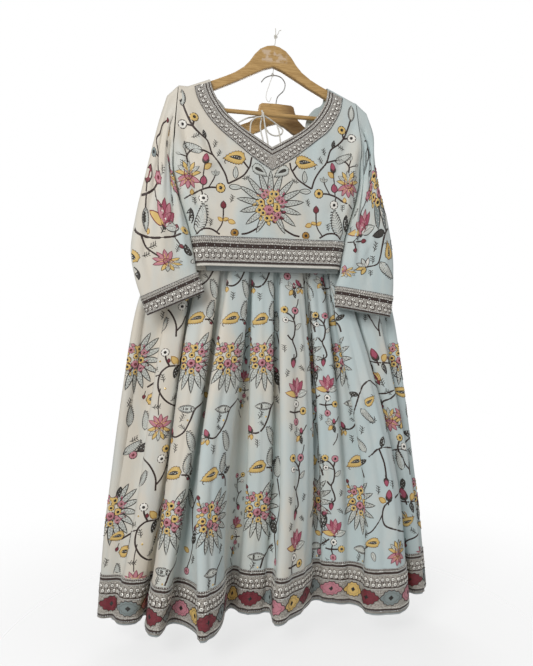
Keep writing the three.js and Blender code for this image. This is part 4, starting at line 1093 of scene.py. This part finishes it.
# ---- Skirt embroidery ----
# Columns of motifs repeat down the pleats: a paisley, a spray, an oval leaf and a twig of buds, then
# rosettes, a tulip and berries, then a long curling vine with a lotus, and a slim one of leaves.
REPEAT, MIDDLE_DROP = 323, 728
spray_column = Motif().stamp(skirt_spray, 0, 0).stamp(paisley, -8, -85, -8)
spray_column.line([(13, -85), (26, -84), (36, -74), (40, -58)]).stamp(dark_leaf, 30, -86, 62, 0.9)
spray_column.line([(40, -88), (34, -100), (26, -108)], 2.4).stamp(small_bud, 24, -80, 130, 0.8)
spray_column.stamp(oval_leaf, 20, 105)
spray_column.line([(46, 84), (30, 96), (20, 106), (14, 130), (4, 152), (-10, 163), (-26, 162)])
spray_column.bead(9, 128, 2.6, "gold").stamp(bud, -24, 160, -25).stamp(pale_leaf, -28, 162, -80, 0.8)
spray_column.stamp(gold_leaf, -28, 165, -150, 1.2).stamp(gold_leaf, -22, 166, -178, 1.0)
spray_column.stamp(pale_leaf, -25, 165, -120, 0.7)
spray_column.stamp(fern, -4, 124, 20).stamp(fern, -9, 186).stamp(fern, 0, 143, -50, 0.8).stamp(fern, 34, 66, 30)
spray_column.stamp(feather, 30, 192, -14).stamp(feather, 22, 236, -6, 0.9, -1)

berry_column = Motif().rosette(-16, -108, 8, "gold").rosette(10, -106, 8, "pink").rosette(-15, -84, 6, "white")
berry_column.line([(-12, -101), (-1, -94), (5, -84), (7, -70), (3, -50), (-3, -38), (3, -20), (5, -4), (-5, 4)])
berry_column.line([(5, -86), (9, -98)]).line([(-10, -84), (4, -80)], 2.4).stamp(pale_leaf, 8, -62, 42)
berry_column.line([(-14, -50), (-8, -42), (-2, -38)]).stamp(bud, -4, 4, 190, 1.2).stamp(tulip, 2, 64, 0, 1.35)
berry_column.line([(-22, 116), (-8, 119), (12, 117)]).line([(-8, 119), (-3, 106)]).line([(-8, 119), (-4, 132)])
berry_column.rosette(-1, 101, 8, "white").rosette(18, 117, 8, "gold").rosette(-3, 139, 8, "pink", "maroon")
berry_column.line([(26, 148), (18, 160), (6, 168)], 2.6).stamp(pale_leaf, 8, 168, -68).stamp(pale_leaf, 8, 168, -30)
berry_column.stamp(bud, 12, 165, 0, 0.8).stamp(gold_leaf, 8, 170, -140, 1.3).stamp(dark_leaf, 10, 170, 170, 0.7)
berry_column.line([(7, -94 + REPEAT - 10), (16, 205), (20, 190)], 2.4)
berry_column.scatter(fern, [(-22, 34, 20), (18, 24, -40), (-20, 150, 10), (20, -20, 20), (-24, -20, 0)], 0.9)

vine_column = Motif().line([(44, 2), (31, 9), (15, 13), (-8, 14), (-20, 18), (-31, 33), (-31, 60), (-18, 82), (0, 95),
                            (22, 102), (28, 110)]).stamp(small_bud, 28, 108, 170, 1.3)
vine_column.line([(-31, 33), (-60, 46), (-82, 60)]).stamp(paisley, -62, 82, 172, 0.95).stamp(small_bud, -86, 76, 190)
vine_column.line([(-26, -10), (-21, 3), (-14, 13)]).rosette(-26, -14, 8, "white").stamp(small_bud, -16, 8, -4)
vine_column.bead(-34, 5, 2.4, "gold").bead(-16, 62, 2.8, "gold").line([(15, 13), (17, 4)])
vine_column.stamp(bud, 17, 4, 12, 1.6).stamp(gold_leaf, 4, 10, -45, 1.9).stamp(dark_leaf, 4, 14, 190)
vine_column.line([(34, 8), (30, 20), (31, 32)]).petal(31, 32, 195, 34, 12, "maroon", "brown")
vine_column.stamp(gold_leaf, 30, 34, 210, 2)
vine_column.line([(-26, 62), (-27, 90), (-23, 118)], 2.2).stamp(lotus, -18, 145, 180)
vine_column.rosette(2, 188, 8, "gold").rosette(-5, 209, 8, "white")
vine_column.line([(6, 195), (12, 214), (2, 246), (-8, 262)]).line([(1, 208), (10, 208)], 2.4)
vine_column.rosette(-92, 205, 8, "pink", "maroon")
vine_column.line([(-88, 198), (-66, 196), (-48, 207), (-28, 222), (-12, 248), (-8, 275)])
vine_column.stamp(feather, -76, 152, 4, 0.9).stamp(dark_leaf, -84, 196, 60, 1.4).stamp(feather, -46, 268, 30, 0.8)
vine_column.scatter(fern, [(-44, 26, 60), (-50, 58, 0), (-24, 40, -20), (5, 82, 50), (-30, 100, 80), (14, 60, 10),
                           (-60, 228, 10), (18, 232, -20), (-2, 160, 30)])

leaf_column = Motif().stamp(feather, 6, -60, 12).stamp(feather, -6, -10, -18, 0.9).stamp(dark_leaf, 4, 60, 24, 1.2)
leaf_column.line([(8, -58), (2, -30), (-4, -8), (0, 24), (6, 56), (2, 84), (-8, 112)], 3)
leaf_column.rosette(-8, 118, 7, "pink", "maroon")
leaf_column.stamp(bud, 10, 30, 40).stamp(gold_leaf, -6, 80, -60, 1.4).stamp(fern, 10, 92, 20)

# Which motif, on which pleat, how far aside, mirrored or not, and its size
stamps = [(spray_column, k, x, 1, 1) for k, x in ((1, -4), (2, 0), (3, 1), (4.5, -7), (5.5, 8))]
stamps += [(berry_column, 4, -8, 1, 1), (berry_column, 5, 4, 1, 0.9), (vine_column, 0, 15, 1, 1),
           (vine_column, 7, 8, -1, 1), (berry_column, 2.5, 0, -1, 0.6), (skirt_spray, -0.5, -24, 1, 1),
           (skirt_spray, 7.6, 26, 1, 1),
           (leaf_column, 1.5, 4, 1, 1), (leaf_column, 3.5, 0, -1, 1), (leaf_column, 4.5, 18, 1, 1)]
side_sprig = Motif().line([(50, 806), (30, 790), (14, 782), (-9, 800), (-29, 835), (-46, 868)])
side_sprig.stamp(feather, -20, 842, 150, 0.9).stamp(feather, -28, 938, -25, 0.9).stamp(dark_leaf, -18, 812, -75, 0.9)
side_sprig.stamp(paisley, 6, 826, 160, 0.7).line([(-24, 948), (8, 930), (46, 934)])
side_sprig.line([(4, 932), (10, 965), (9, 1001)])
side_sprig.stamp(dark_leaf, 10, 928, 20, 0.9)
side_sprig.line([(50, 1030), (5, 1048), (-8, 1071), (-4, 1094), (19, 1105), (57, 1117)])
side_sprig.line([(-8, 1071), (-32, 1105), (-50, 1117)], 3).stamp(lotus, 24, 1152, 8, 0.95)
side_sprig.stamp(paisley, -35, 1132, 0, 0.8)
side_sprig.stamp(bud, 9, 1040, 10, 1.3).stamp(gold_leaf, 2, 1046, -60, 1.6).stamp(pale_leaf, -34, 1150, 165)
side_sprig.stamp(bud, 8, 998, 180)
edge_sprig = Motif().stamp(lotus, -10, 871, 6).stamp(feather, -4, 990, 4).stamp(paisley, -7, 1108, 170, 0.8)
edge_sprig.line([(-24, 812), (-4, 812), (20, 806)]).stamp(dark_leaf, -6, 1010, 190)
edge_sprig.line([(-20, 944), (2, 942), (24, 950)], 3)
leaf_sprig = Motif().stamp(feather, -18, 872, 4).stamp(feather, -22, 930, 62).stamp(paisley, -6, 1105, 0, 0.8)
leaf_sprig.scatter(fern, [(-26, 820, 20), (-2, 900, 60), (-8, 1040, 0), (-24, 1080, 40), (-20, 1160, 10)])
side_sprig.scatter(fern, [(-28, 890, 20), (2, 870, 60), (20, 1010, 0), (34, 1090, 30), (-14, 1020, 10), (46, 960, 0),
                          (40, 890, 20)])
leaf_sprig.stamp(dark_leaf, -14, 1000, 190).line([(-20, 1010), (-8, 1030), (-4, 1060)], 3)
skirt_front_stitches = Motif().stamp(side_sprig, 0, 0, anchor=27.5).stamp(edge_sprig, 0, 0, anchor=31.5)
skirt_front_stitches.stamp(leaf_sprig, 0, 0, anchor=1.5)
FIRST_PLEAT = 3.5  # the corner value in the middle of its face, with 4 to the next
REPEAT_DROPS = MIDDLE_DROP - REPEAT, MIDDLE_DROP, MIDDLE_DROP + REPEAT
for motif, pleat, x, flip, size in stamps:
    for drop in REPEAT_DROPS:
        skirt_front_stitches.stamp(motif, x, drop, 0, size, flip, FIRST_PLEAT + 4 * pleat)
skirt_back_stitches = Motif()
for pleat in range(8):
    for drop in REPEAT_DROPS:
        column = (spray_column, berry_column, spray_column, vine_column)[pleat % 4]
        skirt_back_stitches.stamp(column, 0, drop + 20 * (pleat % 3),
                                   anchor=CORNERS // 2 + FIRST_PLEAT + 4 * pleat)

for side_name, motif in (("front", skirt_front_stitches), ("back", skirt_back_stitches)):
    grid, across = skirt_grids[side_name]
    columns = skirt_sides[side_name]

    def within(x, y, anchor, grid=grid, across=across, columns=columns, top=470 if side_name == "front" else 348):
        drops = -grid[:, 0, 2][::-1]
        row = np.clip(np.round(np.interp(y, drops, np.arange(len(drops))[::-1])).astype(int), 0, len(drops) - 1)
        starts = np.array([np.interp(anchor[i], columns, across[r]) for i, r in enumerate(row)])
        at = starts + x
        return (y > top) & (y < HEM - SKIRT_BORDER - 1) & (at > 2) & (at < across[row, -1] - 2)

    sew("skirt_" + side_name + "_stitches", motif, sheet_at(grid, across, columns), 1.45, within)

# ---- Blouse embroidery ----
# Half of the pattern is drawn from the middle of the blouse outwards and mirrored: a bud on a vine, a
# lotus, rosettes, leaves and paisleys. A large spray sits below the V.
half = Motif().line([(-189, 192), (-182, 212), (-170, 238), (-156, 254), (-138, 268), (-128, 296), (-112, 316),
                     (-100, 336), (-94, 356)])
half.stamp(oval_leaf, -190, 195, 88, 0.95).rosette(-166, 220, 9, "gold")
half.rosette(-190, 236, 9, "white").line([(-167, 229), (-169, 238)]).line([(-181, 236), (-170, 239)])
half.stamp(dark_leaf, -143, 263, -12, 0.7).stamp(feather, -148, 292, -74, 0.95, -1)
half.line([(-180, 316), (-181, 300), (-166, 287), (-148, 290), (-128, 297)]).stamp(lotus, -178, 340, 2, 1.05)
half.line([(-182, 304), (-194, 300)], 2.6).line([(-182, 300), (-186, 288)], 2.6)
half.stamp(pale_leaf, -194, 300, -60, 0.5).stamp(pale_leaf, -186, 288, -10, 0.6)
half.line([(-190, 394), (-170, 382), (-152, 372), (-132, 366), (-116, 366)]).rosette(-110, 366, 9.5, "gold")
half.line([(-148, 372), (-147, 340), (-143, 312)], 2.8).stamp(bud, -143, 314, 8, 1.2)
half.stamp(gold_leaf, -145, 328, 52, 1.5)
half.petal(-147, 362, 4, 20, 14, "rose", "brown", thread=2.4).stamp(gold_leaf, -171, 384, 0, 1.1)
half.line([(-136, 367), (-126, 350), (-121, 338)], 2.8)
for spoke in (-50, 0, 45):
    half.stamp(pale_leaf, -121, 340, spoke, 0.6)
half.line([(-150, 373), (-147, 382)], 2.8).rosette(-146, 389, 9, "white").stamp(dark_leaf, -175, 446, 4, 1.35)
half.stamp(feather, -160, 462, 22, 1.35).line([(-162, 468), (-150, 455), (-130, 454), (-112, 464)])
half.line([(-118, 459), (-106, 438), (-104, 404)], 3).stamp(small_bud, -104, 410, 0, 1.7)
half.stamp(gold_leaf, -106, 436, -50, 1.1).stamp(gold_leaf, -105, 434, 70, 1.1).line([(-105, 434), (-92, 434)], 2)
half.stamp(gold_leaf, -94, 434, 110, 1.4).rosette(-80, 460, 8, "ochre").stamp(paisley, -80, 300, 12, 1.15)
half.line([(-60, 307), (-48, 319), (-42, 296)]).line([(-48, 319), (-62, 338), (-94, 356)])
half.stamp(dark_paisley, -24, 324, 16, 0.9, -1).petal(-78, 344, 2, 26, 11, "sky", "slate", dots="white")
half.petal(-92, 362, 92, 28, 11, "sky", "slate", dots="white")
half.scatter(fern, [(-164, 260, 70), (-122, 274, 20), (-114, 294, 30), (-196, 376, 0), (-166, 396, -10),
                    (-86, 388, 20), (-56, 342, 80), (-132, 440, 10), (-190, 320, 0)], 0.9)

blouse_spray = spray([(0, 46), (20, 46), (-20, 46), (42, 48), (-42, 48), (62, 48), (-62, 48), (82, 46), (-82, 46),
                      (104, 42), (-104, 42), (128, 42), (-128, 42), (152, 40), (-152, 40)])
blouse_spray.stamp(bunch, 0, 0, 20, 1.12).line([(-6, 18), (-24, 44), (-46, 58), (-62, 62)])
blouse_spray.line([(6, 18), (24, 44), (46, 58), (62, 62)])
MIDDLE = -18
for side_name, front, top in (("front", True, FRONT_EDGE), ("back", False, BACK_NECK)):
    pattern = Motif()
    for flip in (1, -1):
        pattern.stamp(half, MIDDLE if front else -MIDDLE, 0, flip=flip)
    pattern.stamp(blouse_spray, MIDDLE if front else -MIDDLE, 397, 0, 1.05)
    way = 1 if front else -1

    def on_panel(x, y, anchor, front=front, way=way):
        return panel_point(front, way * x, y)

    def inside_panel(x, y, anchor, top=top, way=way, front=front):
        out = np.abs(way * x - CENTRE)
        clear = np.where(out < top[0][-1], y > reading(out, *top) + 1, y > 0)
        return clear & (y < (467 if front else 480)) & (out < reading(y, SIDE_DROP, SIDE_HALF) - 3) \
            & (y > shoulder_drop(way * x) + 4)

    sew("blouse_" + side_name + "_stitches", pattern, on_panel, 1.45, inside_panel)

# ---- Sleeve embroidery ----
# Each sleeve has a vine from the shoulder with buds, a tulip, a spray at the armhole and a lotus or
# leaves above the cuff. Across is measured from the middle of the sleeve and down from its top.
SLEEVE_LENGTH = 463
sleeve_patterns = {"left": Motif(), "right": Motif()}
arm = sleeve_patterns["left"]
arm.line([(-22, 20), (-14, 44), (-12, 64)], 3).stamp(gold_leaf, -12, 74, 10, 1.4).stamp(dark_leaf, -14, 96, 170, 0.6)
arm.line([(-38, 70), (-50, 96), (-52, 128), (-58, 150), (-40, 168), (-28, 192)]).stamp(small_bud, -36, 66, 30, 1.4)
arm.line([(-40, 168), (-52, 172)], 3).rosette(-55, 172, 7, "dusk").rosette(-27, 196, 9, "pink", "maroon")
for spoke in range(0, 360, 60):
    arm.petal(-27, 196, spoke, 12, 6, "rose", "maroon", thread=1)
arm.line([(-26, 203), (-32, 216), (-46, 230), (-58, 236)]).line([(-48, 228), (-52, 214)], 3)
arm.petal(-52, 218, -4, 27, 14, "maroon", "brown", thread=2.4).line([(-31, 214), (-22, 228), (-8, 234)])
arm.stamp(tulip, 4, 240, 8, 1.55).line([(-46, 232), (-42, 250)], 3).stamp(oval_leaf, -42, 248, 258, 0.9)
arm.line([(-56, 238), (-60, 262), (-58, 280), (-44, 286), (-16, 286), (20, 276), (42, 262)])
arm.rosette(46, 254, 8.5, "gold")
arm.line([(22, 276), (28, 258)], 3).stamp(small_bud, 28, 260, 10, 1.3).line([(24, 275), (36, 290)], 2.6)
arm.stamp(small_bud, 35, 288, 145, 1.2).stamp(gold_leaf, -32, 283, 10, 0.8).line([(-46, 286), (-34, 304), (-8, 322)])
arm.stamp(lotus, 8, 338, 140, 1.15).stamp(paisley, -66, 318, 60, 0.9).stamp(dark_leaf, -58, 372, -14, 1.3)
arm.stamp(bunch, 40, 140, 24, 0.9).stamp(bud, 12, 130, -35, 1.2)
arm.line([(22, 160), (10, 142)], 3).stamp(dark_leaf, 56, 316, -20, 1.2).stamp(pale_leaf, 58, 350, 10, 1.2)
arm = sleeve_patterns["right"]
arm.petal(-16, 116, 28, 56, 24, "dusk", "brown", belly=0.75, thread=4, dots="white")
arm.line([(6, 74), (18, 60), (10, 40)], 3)
arm.line([(34, 118), (28, 132), (34, 152), (26, 170), (10, 186)]).petal(18, 156, -40, 20, 9, "slate", "black", bend=6)
arm.line([(18, 152), (32, 158)], 3).rosette(8, 190, 8, "pink", "maroon").line([(4, 192), (-16, 206), (-18, 222)])
for spoke in range(30, 390, 60):
    arm.petal(8, 190, spoke, 12, 6, "rose", "maroon", thread=1)
arm.stamp(tulip, -14, 234, 14, 1.6).stamp(bunch, 44, 198, -20, 1.0)
for spoke, x, reach in ((190, 30, 44), (178, 40, 50), (166, 52, 46)):
    arm.petal(x, 218, spoke, reach, 13, "dusk", "slate", thread=2.6, dots="white")
arm.line([(-56, 262), (-40, 268), (-18, 272)], 3).line([(-42, 268), (-28, 256)], 2.6)
arm.line([(-40, 268), (-36, 284)], 2.6)
arm.stamp(small_bud, -28, 258, 30, 1.1).stamp(small_bud, -37, 282, 180, 1.1).stamp(small_bud, -20, 272, 100, 1.2)
arm.line([(62, 262), (40, 272), (32, 290), (26, 312), (18, 328), (-8, 334)])
arm.petal(38, 272, -70, 28, 13, "slate", "black", bend=-8)
arm.stamp(paisley, 46, 302, 100, 0.8).stamp(feather, 26, 322, 150, 1.15)
for spoke, kind in ((-20, "sky"), (-62, "sky"), (20, "white"), (-110, "gold"), (200, "gold")):
    arm.petal(-10, 334, spoke, 26, 11, kind, "brown", thread=2.4)
arm.stamp(lotus, -56, 350, 120, 0.9).stamp(dark_leaf, 60, 300, 10, 1.0)
for side_name, places in (("left", [(-18, 176, 0), (-2, 268, 20), (-22, 300, 60), (-36, 318, 70), (20, 206, 0),
                                    (30, 300, 20)]),
                          ("right", [(14, 290, 20), (8, 316, 0), (4, 352, 0), (-44, 190, 30), (-50, 230, 0)])):
    arm = sleeve_patterns[side_name].scatter(fern, places)
    arm.stamp(spray_column, 0, 210, anchor=1).stamp(berry_column, 30, 300, 0, 0.8, anchor=1)
    arm.stamp(vine_column, 20, 120, 0, 0.7, anchor=1)
    side = SLEEVES[side_name][0]

    def on_sleeve(x, y, anchor, name=side_name, side=side):
        row = (SLEEVE_LENGTH - y) / ROW_LENGTH
        length = sleeve_point(name, row * 0, row)[2]
        at = np.clip(x / length, -0.498, 0.498)
        share = np.where(anchor > 0, 0.5 + side * at, 0.5 - side * at)
        turn = np.arccos(1 - 2 * share) / (2 * np.pi)
        return sleeve_point(name, np.where((side < 0) == (anchor < 1), turn, 1 - turn), row)[0]

    def inside_sleeve(x, y, anchor, name=side_name):
        row = (SLEEVE_LENGTH - y) / ROW_LENGTH
        return (y > 12) & (y < 409) & (np.abs(x) < sleeve_point(name, row * 0, row)[2] * 0.49)

    sew("sleeve_" + side_name + "_stitches", arm, on_sleeve, 1.45, inside_sleeve)

# ---- Border beadwork ----
# Rows of sequins follow the brown lines of every border, and a band of bead rings on a twisted
# thread runs between them. The skirt's border also has a chain of ogee medallions.
OGEE = [(-26, 0), (-22.5, -5), (-17.5, -6), (-15, -12), (-9.5, -11.5), (-6, -15.5), (0, -13.5),
        (6, -15.5), (9.5, -11.5), (15, -12), (17.5, -6), (22.5, -5)]


def scroll(length, middle, tall, pitch=13.0):
    """A band of bead rings set high and low by turns on a twisted thread."""
    made = Motif()
    for step in range(int(length / pitch)):
        x = (step + 0.5) * pitch
        made.line([(x - pitch / 2, middle + tall * 0.42), (x - pitch * 0.28, middle - tall * 0.4),
                   (x + pitch * 0.05, middle + tall * 0.1), (x + pitch * 0.25, middle + tall * 0.42),
                   (x + pitch / 2, middle + tall * 0.42)], 1.7, "brown", 2)
        for across, down in ((-0.2, -0.2), (0.25, 0.22)):
            made.disc(x + across * pitch, middle + down * tall, 4.7, "brown", 0.9, sides=7)
            made.disc(x + across * pitch, middle + down * tall, 4, "white", 1.9, sides=7, gloss=0.6, inner=0.3)
            made.disc(x + across * pitch, middle + down * tall, 1.3, "black", 1.6, sides=4)
    return made


def sequins(length, down, pitch=3.8, radius=1.35, colour="silver"):
    made = Motif()
    for x in np.arange(pitch / 2, length, pitch):
        made.bead(x, down, radius, colour)
    return made


def everywhere(x, y, anchor):
    return x > -1e9


def hem_trim(length):
    """The trim of a blouse hem or cuff, from the lower edge up, along its length."""
    made = scroll(length, -21, 25)
    for down, colour, pitch in ((-6, "silver", 3.8), (-32.5, "white", 3.8), (-37.6, "silver", 17), (-43, "white", 3.8),
                                (-47, "slate", 3.8), (-51, "white", 3.8), (-55, "silver", 3.8)):
        made.stamp(sequins(length, down, pitch, colour=colour), 0, 0)
    return made


HEM_LENGTH, CUFF_LENGTH = 344, 276
for side_name, front, neck, low in PANELS:
    way = 1 if front else -1

    def on_hem(x, y, anchor, front=front, way=way, low=low):
        drop = low + y
        half = reading(drop, SIDE_DROP, SIDE_HALF) * 0.995
        return panel_point(front, CENTRE + way * (x * 2 / HEM_LENGTH - 1) * half, drop)

    sew("blouse_hem_trim_" + side_name, hem_trim(HEM_LENGTH), on_hem, BORDER_LIFT + 0.75, everywhere)

for side_name in SLEEVES:
    def on_cuff(x, y, anchor, name=side_name):
        return sleeve_point(name, x / CUFF_LENGTH % 1, -y / HEM_BORDER)[0]

    sew("cuff_trim_" + side_name, hem_trim(CUFF_LENGTH), on_cuff, BORDER_LIFT + 0.75, everywhere)

steps = np.linspace(-1, 1, 801)
edge = [CENTRE + np.sign(steps) * reading(np.abs(steps), seven, FRONT_EDGE[0]),
        reading(np.abs(steps), seven, FRONT_EDGE[1])]
along = np.concatenate([[0], np.cumsum(np.hypot(*np.diff(edge)))])


def on_neck(x, y, anchor):
    """Along the neck border from the left shoulder, and up from its outer edge at 0 to -50."""
    u, v = np.interp(x, along, steps), -y / 50
    place = [reading(np.abs(u), seven, outer) * (1 - v) + reading(np.abs(u), seven, inner) * v
             for outer, inner in zip(FRONT_EDGE, FRONT_NECK)]
    across = CENTRE + np.sign(u) * place[0]
    return panel_point(True, across, np.maximum(place[1], shoulder_drop(across) + 9))


neck_trim = scroll(along[-1] / 2 - 6, -17, 24).stamp(scroll(along[-1] / 2 - 6, -17, 24), along[-1], 0, flip=-1)
for down, colour in ((-2, "silver"), (-31, "silver"), (-38, "white"), (-40.5, "silver"), (-47.5, "white")):
    neck_trim.stamp(sequins(along[-1], down, colour=colour), 0, 0)
sew("neck_trim", neck_trim, on_neck, BORDER_LIFT + 1.05,
    lambda x, y, anchor: (x > 14) & (x < along[-1] - 14))

for side_name in ("front", "back"):
    grid, across = skirt_grids[side_name]
    columns = skirt_sides[side_name]
    length = across[5, -1]
    trim = scroll(length - 8, -61, 25, 12)
    for i in range(int(length / 53)):
        middle = 30 + 53 * i
        colour = ("maroon", "dusk", "pink", "gold")[i % 4]
        upper = np.array(OGEE, float)
        shape = np.concatenate([upper, -upper, upper[:1]])
        shape = np.array([shape[k] * (1 - t) + shape[k + 1] * t for k in range(len(shape) - 1) for t in (0, 0.5)]
                         + [shape[0]])
        rings = [shape * share + (middle, -29) for share in (1, 0.85, 0.7, 0.55, 0.4, 0.25, 0.1)]
        trim.strip(rings, (0.8, 1.1, 1.1, 1.1, 1.1, 1.1, 1.1), colour)
        trim.line(rings[0], 2.2, "brown", 1, 1.5)
        trim.line(rings[2], 1, "brown", 1, 1.6)
        trim.strip([[(middle - 5.5, -29), (middle, -34.5), (middle + 5.5, -29), (middle, -23.5), (middle - 5.5, -29)],
                    [(middle, -29)] * 5], (1.2, 1.9), "black")
    for down, colour in ((-3, "silver"), (-9, "white"), (-46.5, "silver"), (-76, "silver"), (-83, "silver"),
                         (-87, "white")):
        trim.stamp(sequins(length, down, colour=colour, pitch=4.2), 0, 0)

    def on_border(x, y, anchor, surface=sheet_at(grid, across, columns), low=columns[0]):
        return surface(x + 3, HEM + y, np.full(len(x), low))

    sew("skirt_trim_" + side_name, trim, on_border, BORDER_LIFT + 0.75,
        lambda x, y, anchor, length=length: x < length - 8)
